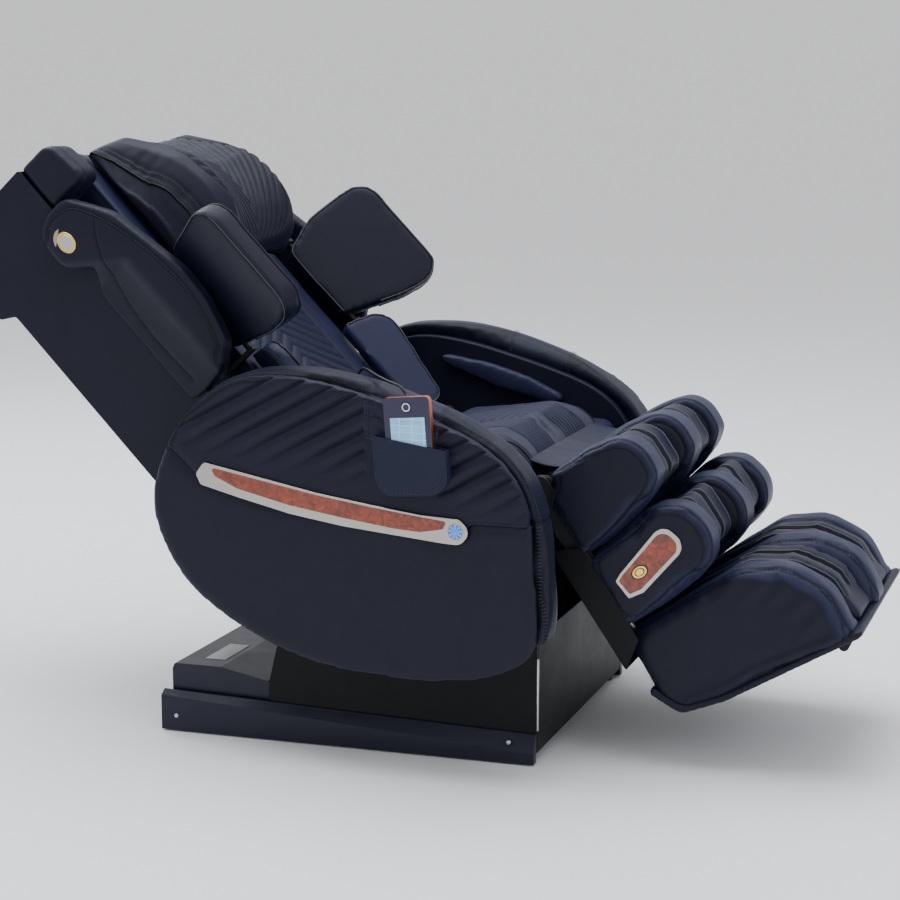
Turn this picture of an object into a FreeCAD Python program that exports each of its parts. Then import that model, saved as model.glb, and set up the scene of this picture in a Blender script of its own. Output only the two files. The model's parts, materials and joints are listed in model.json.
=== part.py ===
import FreeCAD, Part
import math
import os

# A zero gravity massage chair, in millimetres. +Z is up, the sitter faces -Y, and the
# origin is on the floor under the middle of the base. The sitter's right hand, with the
# handset, is on the -X side. It is modelled part reclined, with the leg rest raised.

# ---------------------------------------------------------------- driving dimensions
# Overall
chair_width = 940.0          # over the two arm pods
seat_gap = 692.0             # clear width between the arm pods
base_width = 634.0           # over the side skirts
base_front_y = -352.0
base_rear_y = 352.0
floor_gap = 3.0              # under the skirts and wheels

# Main hinge, shared by the seat and the back
hinge_y = 60.0
hinge_z = 390.0
back_angle = 46.6            # of the back above the floor
back_length = 823.0          # hinge to top edge
back_width = 660.0           # over the rear shell
back_depth = 190.0           # rear face to front edge of the rear shell
back_behind = 159.0          # rear face behind the hinge
seat_angle = 7.4             # rise of the seat to the front
seat_width = 476.0
seat_origin_ahead = 107.0     # rear corner of the seat, ahead of the main hinge
seat_origin_up = 7.0

# Leg rest hinge, at the front of the seat frame
leg_hinge_y = -350.0
leg_hinge_z = 485.0
leg_angle = 55.8             # of the leg rest below level
leg_width = 590.0
foot_width = 520.0

# Stock, walls and clearances
wall = 3.0                   # moulded covers
plate = 8.0                  # hinge plates
rail_width = 28.0            # base rails, width
rail_height = 40.0           # base rails, height
rail_wall = 2.5
running = 0.05               # radial clearance of a shaft in its bore
gap = 0.5                    # between pieces that lie against each other
move_gap = 4.0               # between pieces that move past each other

# Shafts and pins
shaft_r = 10.0
leg_pin_r = 8.0
wing_pin_r = 5.0
wheel_pin_r = 4.0
link_pin_r = 6.0
roller_pin_r = 5.0

# Base
foot_pad_r = 18.0
foot_pad_height = 12.0
skirt_outer_rear = 66.0      # height of the skirt's outer face at the rear
skirt_outer_front = 23.0
skirt_inner_rear = 75.0      # height of the skirt's inner edge at the rear
skirt_inner_front = 54.0
skirt_bevel = 14.0
panel_thickness = 8.0
lower_panel_top = 225.0
rear_cover_front = 147.0
rear_cover_top = 121.0
tower_thickness = 12.0
wheel_r = 24.0
wheel_width = 18.0
wheel_room = 1.5                # round a wheel, under the rear cover
inlet_width = 28.0
inlet_height = 22.0
rocker_width = 12.0
rocker_height = 20.0

# Arm pods
arm_panel = 22.0             # depth of the outer skin panels
arm_trim_room = 8.0          # the panels stand back this much from the widest point
arm_roll_depth = 28.0        # thickness of the padded roll
arm_roll_inset = 7.0         # from the inner face to the roll
panel_inset = 8.0            # of the skin panels inside the pod's outline
trim_thickness = 6.0
inlay_thickness = 1.5
pad_reach = 26.0             # of the forearm pad out from the arm's inner face

# Handset and its pocket
handset_width = 80.0
handset_height = 160.0
handset_thickness = 14.0
handset_y = -178.0
handset_top = 657.0
handset_tilt = 4.5
pocket_wall = 3.0
pocket_side_room = 23.0         # beside the handset, to the pocket's outer face
pocket_depth = 21.0
pocket_lip = 592.0
button_r = 8.0
jewel_r = 12.0
cord_d = 5.0

# Back
rail_depth = 48.0            # back side rails, front to rear
rail_thick = 22.0
rail_half = 250.0            # outer face of the back side rails
back_pad_front = 86.0        # front face of the back pad, ahead of the hinge
back_pad_low = 10.0
bolster_inner = 322.0
bolster_outer = 358.0
wing_hinge_x = 262.0
wing_hinge_v = 116.0
wing_lean = 34.1             # of the shoulder wings, outwards from straight ahead
wing_thickness = 44.0
wing_reach = 205.0
pillow_half = 202.0
guide_x = 150.0
guide_r = 8.0
screw_r = 7.0
guide_v = -40.0
carriage_u = 470.0           # middle of the massage carriage at rest
carriage_height = 120.0
roller_r = 24.0
roller_width = 26.0
roller_x = 75.0

# Seat
seat_tube = 25.0
seat_plate_inner = 254.0
pan_thickness = 12.0
cushion_thickness = 119.0

# Leg rest
ridge_width = 80.0
centre_ridge = 90.0
trough_depth = 62.0
leg_shell_wall = 4.0
shell_rear = -44.0           # rear face of the leg shell, behind the leg hinge
foot_rail_r = 6.0
foot_rail_x = 170.0

# Drives: motor body, rod and the clearance of each opened end pivot
drive_r = 24.0
rod_r = 9.0
# The rod end eye of each drive is opened by this much, so that its swing and stroke can
# follow the part it moves in simple proportion
back_drive_slack = 9.0
leg_drive_slack = 15.0
seat_drive_slack = 3.0

X_AXIS = FreeCAD.Vector(1, 0, 0)
ORIGIN = FreeCAD.Vector(0, 0, 0)

# Drives: lanes across the chair, and the two ends of each, in its part's own frame
seat_drive_x = -90.0
leg_drive_x = 0.0
back_drive_x = 90.0
seat_drive_y = -200.0
seat_drive_z = 82.0
fork_gap = 9.0
fork_plate = 6.0
seat_lever = (190.0, -50.0)
back_lever = (-17.0, -113.0)
leg_lever = (62.0, -64.0)
back_drive_start = (192.0, -75.0)
leg_drive_start = (-22.0, -102.0)


# ---------------------------------------------------------------- drawing helpers
class Frame:
    """A drawing plane: an origin, two axes in the plane and the axis it extrudes along."""

    def __init__(self, origin, first, second, third):
        self.origin = origin
        self.first = first
        self.second = second
        self.third = third

    def at(self, u, v, w=0.0):
        return self.origin + self.first * u + self.second * v + self.third * w


def side_frame(y, z, angle, flip=False):
    """A side view frame at (y, z): u runs along the angle, v is a quarter turn past it."""
    turn = math.radians(angle)
    u = FreeCAD.Vector(0, math.cos(turn), math.sin(turn))
    v = FreeCAD.Vector(0, -math.sin(turn), math.cos(turn))
    if flip:
        v = v * -1
    return Frame(FreeCAD.Vector(0, y, z), u, v, X_AXIS)


ROW = side_frame(0, 0, 0)
BACK = side_frame(hinge_y, hinge_z, back_angle)
LEG = side_frame(leg_hinge_y, leg_hinge_z, 180 + leg_angle, flip=True)
seat_front_turn = 180 - seat_angle
SEAT = side_frame(hinge_y - seat_origin_ahead, hinge_z + seat_origin_up, seat_front_turn, flip=True)


def corner_arcs(points, radius):
    """Each corner of a closed outline as its two tangent points and the arc's middle."""
    corners = []
    count = len(points)
    for index, here in enumerate(points):
        before = points[index - 1]
        after = points[(index + 1) % count]
        size = here[2] if len(here) > 2 else radius
        to_before = (before[0] - here[0], before[1] - here[1])
        to_after = (after[0] - here[0], after[1] - here[1])
        reach_before = math.hypot(*to_before)
        reach_after = math.hypot(*to_after)
        one = (to_before[0] / reach_before, to_before[1] / reach_before)
        two = (to_after[0] / reach_after, to_after[1] / reach_after)
        half = math.acos(max(-1.0, min(1.0, one[0] * two[0] + one[1] * two[1]))) / 2
        size = min(size, 0.49 * min(reach_before, reach_after) * math.tan(half))
        if size < 0.2 or half > math.radians(89.5):
            corners.append(None)
            continue
        along = size / math.tan(half)
        start = (here[0] + one[0] * along, here[1] + one[1] * along)
        end = (here[0] + two[0] * along, here[1] + two[1] * along)
        middle_dir = (one[0] + two[0], one[1] + two[1])
        length = math.hypot(*middle_dir)
        deep = size / math.sin(half) - size
        middle = (here[0] + middle_dir[0] / length * deep, here[1] + middle_dir[1] / length * deep)
        corners.append((start, middle, end))
    return corners


def outline(frame, points, radius, w):
    """A closed wire through corner points, each rounded by its own radius or the given one."""
    corners = corner_arcs(points, radius)
    edges = []
    count = len(points)
    for index in range(count):
        here = corners[index]
        after = corners[(index + 1) % count]
        leave = here[2] if here else points[index][:2]
        reach = after[0] if after else points[(index + 1) % count][:2]
        if here:
            arc = Part.Arc(frame.at(*here[0], w), frame.at(*here[1], w), frame.at(*here[2], w))
            edges.append(arc.toShape())
        if math.hypot(leave[0] - reach[0], leave[1] - reach[1]) > 1e-4:
            edges.append(Part.makeLine(frame.at(*leave, w), frame.at(*reach, w)))
    return Part.Wire(edges)


def prism(frame, points, start, end, radius=0.0):
    """A solid of the outline, from start to end along the frame's third axis."""
    face = Part.Face(outline(frame, points, radius, start))
    return face.extrude(frame.third * (end - start))


def block(frame, u0, u1, v0, v1, start, end, radius=0.0):
    """A rectangular solid in a frame, with its four long edges rounded if asked."""
    return prism(frame, [(u0, v0), (u1, v0), (u1, v1), (u0, v1)], start, end, radius)


def cylinder(frame, u, v, radius, start, end):
    """A cylinder along the frame's third axis."""
    return Part.makeCylinder(radius, end - start, frame.at(u, v, start), frame.third)


def rod(start, end, radius):
    """A round bar from one point to another."""
    return Part.makeCylinder(radius, (end - start).Length, start, end - start)


def tube_bar(frame, u0, u1, v0, v1, start, end, thickness):
    """A closed rectangular tube with flat end caps."""
    outer = block(frame, u0, u1, v0, v1, start, end)
    t = thickness
    inner = block(frame, u0 + t, u1 - t, v0 + t, v1 - t, start + t, end - t)
    return outer.cut(inner)


def mirrored(shape):
    """The same piece on the other side of the chair."""
    return shape.mirror(ORIGIN, X_AXIS)


def both(shape):
    """A piece and its mirror image."""
    return [shape, mirrored(shape)]


def joined(shapes):
    """Pieces welded or moulded as one."""
    result = shapes[0].fuse(shapes[1:])
    return result.removeSplitter()


PARTS = {}


def add(name, *shapes):
    """Files the solids of one node under its name."""
    solids = []
    for shape in shapes:
        solids.extend(shape.Solids)
    PARTS[name] = solids


# ---------------------------------------------------------------- places across the chair
arm_outer = chair_width / 2
arm_inner = seat_gap / 2
arm_skin = arm_outer - arm_trim_room
arm_core = arm_skin - arm_panel
skirt_outer = base_width / 2
skirt_inner = skirt_outer - skirt_bevel - wall
lower_panel_inner = skirt_inner - panel_thickness
rail_outer = lower_panel_inner
rail_inner = rail_outer - rail_width
rail_top = foot_pad_height + rail_height
leg_half = leg_width / 2
foot_half = foot_width / 2
back_half = back_width / 2
seat_half = seat_width / 2


# ---------------------------------------------------------------- base
def make_base():
    """Rails, feet, skirts, panels and covers of the base."""
    low = foot_pad_height
    front = base_front_y + 6.0
    rail_end = base_rear_y - 62.0
    side_rail = tube_bar(ROW, front, rail_end, low, rail_top, rail_inner, rail_outer, rail_wall)
    pieces = both(side_rail)
    for middle in (front + rail_width / 2, seat_drive_y, -40.0, rail_end - 46.0):
        pieces.append(tube_bar(ROW, middle - rail_width / 2, middle + rail_width / 2, low, rail_top,
                               -rail_inner, rail_inner, rail_wall))
    wheel_y = rail_end + wheel_r + move_gap
    wheel_z = floor_gap + wheel_r
    ear = block(ROW, rail_end - rail_width, wheel_y + 14, low, wheel_z + 16,
                rail_inner - plate, rail_inner, 4.0)
    ear = ear.cut(cylinder(ROW, wheel_y, wheel_z, wheel_pin_r + running, 0, rail_outer))
    pieces += both(ear)
    pieces += fork(ROW, seat_drive_y, seat_drive_z, seat_drive_x,
                   [(seat_drive_y - 12, rail_top), (seat_drive_y + 12, rail_top)])
    foot_bridge_y = -40.0 + rail_width / 2
    pieces.append(block(ROW, foot_bridge_y, foot_bridge_y + 60, low, low + 6, -30, 30))
    add("base_frame", *pieces)

    wheel_start = rail_inner + move_gap
    wheel = cylinder(ROW, wheel_y, wheel_z, wheel_r, wheel_start, wheel_start + wheel_width)
    axle = cylinder(ROW, wheel_y, wheel_z, wheel_pin_r, -wheel_start - 1, wheel_start + 1)
    add("transport_wheels", joined([axle] + both(wheel)))

    pads = []
    for y in (front + foot_pad_r + 4, rail_end - rail_width - foot_pad_r):
        pad = Part.makeCylinder(foot_pad_r, low, FreeCAD.Vector(rail_outer - foot_pad_r, y, 0))
        pads += both(pad)
    pads.append(Part.makeCylinder(foot_pad_r, low, FreeCAD.Vector(0, 0, 0)))
    add("rubber_feet", *pads)

    def skirt_section(y, outer_top, inner_top):
        bevel = skirt_outer - skirt_bevel
        corners = [(skirt_inner, floor_gap), (skirt_outer, floor_gap), (skirt_outer, outer_top),
                   (bevel, inner_top), (skirt_inner, inner_top)]
        points = [FreeCAD.Vector(x, y, z) for x, z in corners]
        return Part.makePolygon(points + [points[0]])

    skirt = Part.makeLoft([skirt_section(base_rear_y, skirt_outer_rear, skirt_inner_rear),
                           skirt_section(base_front_y, skirt_outer_front, skirt_inner_front)],
                          True, True)
    add("side_skirts", *both(skirt))

    panel_low = foot_pad_height + 6
    rear_lean = rear_cover_front
    panel_points = [(rear_lean, panel_low), (rear_lean, 102), (rear_lean - 29, lower_panel_top),
                    (base_front_y, lower_panel_top), (base_front_y, panel_low)]
    panel = prism(ROW, panel_points, lower_panel_inner, skirt_inner, 3.0)
    add("lower_panels", *both(panel))

    across = rail_outer - gap
    front_panel = block(ROW, base_front_y, front, panel_low, lower_panel_top, -across, across)
    add("front_panel", front_panel)

    cover_rear = base_rear_y - 12
    cover_low = rail_top + 1
    cover_points = [(rear_cover_front + 3, cover_low), (rear_cover_front + 3, 102), (244, rear_cover_top),
                    (cover_rear - 4, rear_cover_top), (cover_rear, rear_cover_top - 10),
                    (cover_rear, cover_low)]
    cover = prism(ROW, cover_points, -across, across, 4.0)
    hollow_front = rear_cover_front + 3 + wall
    hollow_points = [(hollow_front, cover_low - 1), (hollow_front, 102 - wall),
                     (244, rear_cover_top - wall), (cover_rear - 4, rear_cover_top - wall),
                     (cover_rear - wall, rear_cover_top - 10 - wall), (cover_rear - wall, cover_low - 1)]
    cover = cover.cut(prism(ROW, hollow_points, -across + wall, across - wall))
    inlet_z = rail_top + 24
    inlet_x = -46.0
    rocker_x = 16.0
    window = block(ROW, cover_rear - 2 * wall, cover_rear + 1, inlet_z - inlet_height / 2 - gap,
                   inlet_z + inlet_height / 2 + gap, inlet_x - inlet_width / 2 - gap,
                   inlet_x + inlet_width / 2 + gap)
    rocker_window = block(ROW, cover_rear - 2 * wall, cover_rear + 1,
                          inlet_z - rocker_height / 2 - move_gap, inlet_z + rocker_height / 2 + move_gap,
                          rocker_x - rocker_width / 2 - 1, rocker_x + rocker_width / 2 + 1)
    arch = cylinder(ROW, wheel_y, wheel_z, wheel_r + wheel_room,
                    wheel_start - wheel_room, wheel_start + wheel_width + wheel_room)
    for opening in [window, rocker_window] + both(arch):
        cover = cover.cut(opening)
    add("rear_cover", cover)

    box_rear = cover_rear - 40
    add("control_box", block(ROW, rear_cover_front + 12, box_rear, rail_top, 100, -120, 120, 3.0))

    body = block(ROW, box_rear, cover_rear, inlet_z - inlet_height / 2, inlet_z + inlet_height / 2,
                 inlet_x - inlet_width / 2, inlet_x + inlet_width / 2)
    flange = block(ROW, cover_rear, cover_rear + 2, inlet_z - inlet_height / 2 - 3,
                   inlet_z + inlet_height / 2 + 3, inlet_x - inlet_width / 2 - 4,
                   inlet_x + inlet_width / 2 + 4)
    inlet = joined([body, flange])
    inlet = inlet.cut(block(ROW, cover_rear - 14, cover_rear + 3, inlet_z - inlet_height / 2 + 2,
                            inlet_z + inlet_height / 2 - 2, inlet_x - inlet_width / 2 + 2,
                            inlet_x + inlet_width / 2 - 2))
    prongs = []
    for dx, dz in ((-6, -2), (6, -2), (0, 4)):
        prongs.append(block(ROW, cover_rear - 14, cover_rear - 6, inlet_z + dz - 2, inlet_z + dz + 2,
                            inlet_x + dx - 1, inlet_x + dx + 1))
    housing = block(ROW, box_rear, cover_rear - 12, inlet_z - rocker_height / 2 - 3,
                    inlet_z + rocker_height / 2 + 3, rocker_x - rocker_width / 2 - 3,
                    rocker_x + rocker_width / 2 + 3)
    add("power_inlet", inlet, *prongs, housing)
    add("power_switch", block(ROW, cover_rear - 10, cover_rear + 3, inlet_z - rocker_height / 2,
                              inlet_z + rocker_height / 2, rocker_x - rocker_width / 2,
                              rocker_x + rocker_width / 2, 3.0))

    pump = block(ROW, -210, 20, rail_top, 130, -240, -150, 14.0)
    tank = cylinder(ROW, -95, 152, 22, -235, -155)
    add("air_pump", pump, tank)


def make_stand():
    """The two hinge towers and the main shaft that the seat and the back swing on."""
    top = hinge_z + 34
    points = [(hinge_y - 70, rail_top), (hinge_y + 70, rail_top), (hinge_y + 34, top, 30),
              (hinge_y - 34, top, 30)]
    tower = prism(ROW, points, rail_outer - tower_thickness, rail_outer)
    tower = tower.cut(cylinder(ROW, hinge_y, hinge_z, shaft_r + running,
                               rail_outer - tower_thickness - 1, rail_outer + 1))
    shaft = cylinder(ROW, hinge_y, hinge_z, shaft_r, -rail_outer, rail_outer)
    add("hinge_stand", *both(tower), shaft)


# ---------------------------------------------------------------- arm pods
arm_centre = (-50.0, 440.0)
arm_points = [(299, 479), (269, 559), (205, 638), (118, 683), (37, 687), (-107, 660), (-230, 619),
              (-334, 562), (-382, 495), (-397, 385), (-403, 300), (-395, 232), (-345, 194),
              (-262, 172), (-156, 168), (-12, 181), (135, 236), (245, 320), (290, 400)]


def arm_face(inset, w):
    """The pod's side outline, drawn smoothly and moved in by the inset."""
    points = []
    for y, z in arm_points:
        dy = y - arm_centre[0]
        dz = z - arm_centre[1]
        reach = math.hypot(dy, dz)
        share = (reach - inset) / reach
        points.append(ROW.at(arm_centre[0] + dy * share, arm_centre[1] + dz * share, w))
    curve = Part.BSplineCurve()
    curve.interpolate(points, PeriodicFlag=True)
    return Part.Face(Part.Wire([curve.toShape()]))


def arm_slab(inset, start, end):
    """A slab of the pod's outline."""
    return arm_face(inset, start).extrude(X_AXIS * (end - start))


def make_arms():
    """Frames, rolls, skin panels, pads and trims of the two arm pods."""
    frame = arm_slab(arm_roll_depth + gap, arm_inner, arm_core)
    bracket = block(ROW, hinge_y - 110, hinge_y + 30, lower_panel_top + 3, lower_panel_top + 33,
                    rail_outer, arm_inner)
    stub = block(ROW, -300, -240, lower_panel_top - 40, lower_panel_top - 10, skirt_inner, arm_inner)
    add("arm_frames", *both(frame), *both(bracket), *both(stub))

    keep = prism(ROW, [(360, 455), (-460, 215), (-460, 760), (360, 760)],
                 arm_inner, arm_core + 1)
    roll_in = arm_inner + arm_roll_inset
    roll_out = arm_core - gap
    ring = arm_slab(0, roll_in, roll_out).cut(arm_slab(arm_roll_depth, roll_in - 1, roll_out + 1))
    add("arm_rolls", *both(ring.common(keep)))

    split = [(360, 590), (251, 549), (203, 505), (100, 472), (-57, 452), (-200, 438), (-268, 432),
             (-283, 451), (-460, 451)]
    upper = prism(ROW, split + [(-460, 760), (360, 760)], arm_core - 1, arm_skin + 1)
    lower_split = [(y, z - 1) for y, z in split]
    lower = prism(ROW, lower_split + [(-460, 60), (360, 60)], arm_core - 1, arm_skin + 1)
    skin = arm_slab(panel_inset, arm_core, arm_skin)
    add("arm_quilts", *both(skin.common(upper)))
    add("arm_side_panels", *both(skin.common(lower)))

    leaf = [(45, 632), (-60, 616), (-150, 590), (-232, 549), (-200, 536), (-90, 566), (10, 606)]
    forearm = prism(ROW, leaf, arm_inner - pad_reach, arm_inner, 30.0)
    hip = block(ROW, -325, -30, 425, 512, seat_plate_inner + plate + 2 * move_gap, arm_inner, 24.0)
    add("arm_pads", *both(forearm), *both(hip))

    strip = [(205, 508, 9), (196, 489, 9), (128, 471), (33, 448), (-61, 433), (-154, 423),
             (-236, 415), (-268, 413, 20), (-286, 435, 20), (-268, 457, 20), (-199, 461),
             (-108, 473), (-15, 487), (79, 505), (190, 528, 9)]
    trim = prism(ROW, strip, arm_skin, arm_skin + trim_thickness, 5.0)
    jewel_y = -260.0
    jewel_z = 436.0
    trim = trim.cut(cylinder(ROW, jewel_y, jewel_z, jewel_r + gap, arm_skin + 2, arm_outer))
    add("arm_trims", *both(trim))
    boat = [(177, 520), (168, 505), (127, 486), (32, 463), (-61, 448), (-154, 435),
            (-199, 432), (-238, 439), (-245, 452), (-199, 457), (-108, 469), (-15, 483), (79, 501)]
    inlay = prism(ROW, boat, arm_skin + trim_thickness, arm_skin + trim_thickness + inlay_thickness, 4.0)
    add("arm_inlays", *both(inlay))
    lift = 2.0
    jewel = cylinder(ROW, jewel_y, jewel_z, jewel_r, arm_skin + 2 + lift, arm_skin + trim_thickness + lift)
    add("power_button", mirrored(jewel))


# ---------------------------------------------------------------- handset, pocket and cord
tilt = math.radians(handset_tilt)
HANDSET = Frame(FreeCAD.Vector(-arm_skin - pocket_wall - 1.0, handset_y, handset_top),
                FreeCAD.Vector(0, math.cos(tilt), -math.sin(tilt)),
                FreeCAD.Vector(0, math.sin(tilt), math.cos(tilt)),
                FreeCAD.Vector(-1, 0, 0))


def make_pocket(across):
    """A stitched pouch on an arm's outer face, open at the top."""
    low = -handset_height - pocket_wall - gap
    lip = pocket_lip - handset_top
    half = handset_width / 2 + pocket_side_room
    outer = prism(across, [(-half, low, 34), (half, low, 34), (half, lip + 4, 3), (-half, lip - 26, 3)],
                  -pocket_wall - 1.0, pocket_depth - pocket_wall)
    inner = prism(across, [(-half + 3, low + 3, 31), (half - 3, low + 3, 31), (half - 3, 40),
                           (-half + 3, 40)], -1.0, pocket_depth - 2 * pocket_wall)
    return outer.cut(inner)


def make_handset():
    """The handset, its keys and pocket, and the cord with its gland."""
    half = handset_width / 2
    body = block(HANDSET, -half, half, -handset_height, 0, 0, handset_thickness, 8.0)
    face = handset_thickness
    screen_low = -92.0
    screen_high = -34.0
    body = body.cut(block(HANDSET, -30, 30, screen_low, screen_high, face - 1.5, face + 1))
    key_v = -17.0
    body = body.cut(cylinder(HANDSET, 0, key_v, button_r + gap, face - 2.5, face + 1))
    add("handset_body", body)
    add("handset_screen", block(HANDSET, -30 + 0.2, 30 - 0.2, screen_low + 0.2, screen_high - 0.2,
                                face - 1.5, face))
    add("handset_button", cylinder(HANDSET, 0, key_v, button_r, face - 1.5, face + 0.8))
    add("arm_pockets", *both(make_pocket(HANDSET)))

    points = [FreeCAD.Vector(*point) for point in cord_route]
    add("handset_cord", bent_tube(points, cord_d / 2))
    exit_point = points[0]
    add("cord_gland", rod(FreeCAD.Vector(-arm_inner, exit_point.y, exit_point.z), exit_point, cord_d))


cord_route = [(-338, -22, 640), (-326, -22, 640), (-317, -26, 649), (-318, -32, 663), (-328, -42, 675),
              (-346, -54, 683), (-372, -72, 685), (-400, -94, 682), (-425, -116, 679),
              (-446, -138, 676), (-461, -157, 674), (-470, -170, 670), (-473, -176, 660.5)]


def bent_tube(points, radius):
    """A round tube along straight runs joined by tangent arcs, and its least radius."""
    edges = []
    radii = []
    leave = points[0]
    for index in range(1, len(points) - 1):
        here = points[index]
        back = points[index - 1] - here
        ahead = points[index + 1] - here
        turn = math.pi - back.getAngle(ahead)
        shorter = min(back.Length, ahead.Length)
        size = 0.45 * shorter / math.tan(turn / 2)
        radii.append(size)
        along = size * math.tan(turn / 2)
        one = FreeCAD.Vector(back).normalize()
        two = FreeCAD.Vector(ahead).normalize()
        start = here + one * along
        end = here + two * along
        half_way = FreeCAD.Vector(one + two).normalize()
        deep = size / math.cos(turn / 2) - size
        edges.append(Part.LineSegment(leave, start).toShape())
        edges.append(Part.Arc(start, here + half_way * deep, end).toShape())
        leave = end
    edges.append(Part.LineSegment(leave, points[-1]).toShape())
    path = Part.Wire(edges)
    section = Part.Wire([Part.makeCircle(radius, points[0], points[1] - points[0])])
    tube = path.makePipeShell([section], True, False)
    print("cord radii", [round(size, 1) for size in radii], "length", round(path.Length, 1),
          "volume share", round(tube.Volume / (math.pi * radius ** 2 * path.Length), 4))
    return tube


# ---------------------------------------------------------------- seat
def fork(frame, u, v, x, root):
    """Two cheeks with a pin between them, for the end of a drive."""
    pieces = []
    for side in (-1, 1):
        near = min(x + side * fork_gap, x + side * (fork_gap + fork_plate))
        far = near + fork_plate
        bar = prism(frame, root + [(u + link_pin_r, v), (u - link_pin_r, v)], near, far)
        pieces.append(bar)
        pieces.append(cylinder(frame, u, v, 2 * link_pin_r, near, far))
    pieces.append(cylinder(frame, u, v, link_pin_r, x - fork_gap, x + fork_gap))
    return [joined(pieces)]


def drive(start, end, x, stroke, slack):
    """A motor body that swings at its start, and its rod with an eye at its end."""
    line = end - start
    length = line.Length
    along = FreeCAD.Vector(line).normalize()
    down = -1.0 if along.y > 0 else 1.0
    across = FreeCAD.Vector(0, -along.z * down, along.y * down)
    here = Frame(start + X_AXIS * x, along, across, X_AXIS)
    eye_out = link_pin_r + slack + 5
    body_start = 36.0
    body_end = length - eye_out - stroke - 22
    lug = block(here, -12, body_start + 2, -9, 9, -8, 8, 7.0)
    body = rod(here.at(body_start, 0), here.at(body_end, 0), drive_r)
    motor = block(here, body_start, body_start + 70, drive_r - 4, drive_r + 34,
                  -drive_r + 2, drive_r - 2, 8.0)
    housing = joined([lug, body, motor])
    housing = housing.cut(cylinder(here, 0, 0, link_pin_r + running, -20, 20))
    housing = housing.cut(rod(here.at(body_start + 8, 0), here.at(body_end + 5, 0), rod_r + running))
    stem = rod(here.at(body_start + 8 + stroke + 4, 0), here.at(length - eye_out + 3, 0), rod_r)
    eye = cylinder(here, length, 0, eye_out, -7, 7)
    eye = eye.cut(cylinder(here, length, 0, link_pin_r + slack, -8, 8))
    return housing, joined([stem, eye])


def make_seat():
    """The tilting seat frame, its pan and the cushion."""
    inner = seat_plate_inner
    outer = inner + plate
    ring = 28.0
    points = [(hinge_y + ring, hinge_z - ring, ring), (hinge_y + ring, hinge_z + ring, ring),
              (-290, 446, 20), (leg_hinge_y + 12, leg_hinge_z + 15, 10),
              (leg_hinge_y - 15, leg_hinge_z + 15, 14), (leg_hinge_y - 15, leg_hinge_z - 14, 14),
              (-300, 412, 20), (-250, 376, 20)]
    side = prism(ROW, points, inner, outer)
    side = side.cut(cylinder(ROW, hinge_y, hinge_z, shaft_r + running, inner - 1, outer + 1))
    side = side.cut(cylinder(ROW, leg_hinge_y, leg_hinge_z, leg_pin_r + running, inner - 1, outer + 1))
    pieces = both(side)
    for s in (0.0, 180.0):
        pieces.append(tube_bar(SEAT, s, s + seat_tube, -seat_tube, 0, -inner, inner, rail_wall))
    rear_tube = [(0.0, -seat_tube), (seat_tube, -seat_tube)]
    front_tube = [(180.0, -seat_tube), (180.0 + seat_tube, -seat_tube)]
    pieces += fork(SEAT, *leg_drive_start, leg_drive_x, rear_tube)
    pieces += fork(SEAT, *back_drive_start, back_drive_x, front_tube)
    pieces += fork(SEAT, *seat_lever, seat_drive_x, front_tube)
    add("seat_frame", *pieces)
    pan = block(SEAT, -2, 265, 0, pan_thickness, -seat_half, seat_half)
    add("seat_pan", pan)
    top = pan_thickness + cushion_thickness
    cushion = [(0, pan_thickness, 20), (0, top, 26), (255, top, 70), (303, 84, 60), (287, 30, 30),
               (268, pan_thickness, 4)]
    add("seat_cushion", prism(SEAT, cushion, -seat_half, seat_half))


# ---------------------------------------------------------------- back
def wing_frame(hinge_x, hinge_v, lean):
    """A frame on a wing: u along the back, v out from its hinge, third through it."""
    turn = math.radians(lean)
    out = X_AXIS * math.sin(turn) + BACK.second * math.cos(turn)
    through = X_AXIS * math.cos(turn) - BACK.second * math.sin(turn)
    origin = BACK.at(0, hinge_v, hinge_x)
    return Frame(origin, BACK.first, out, through)


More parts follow.
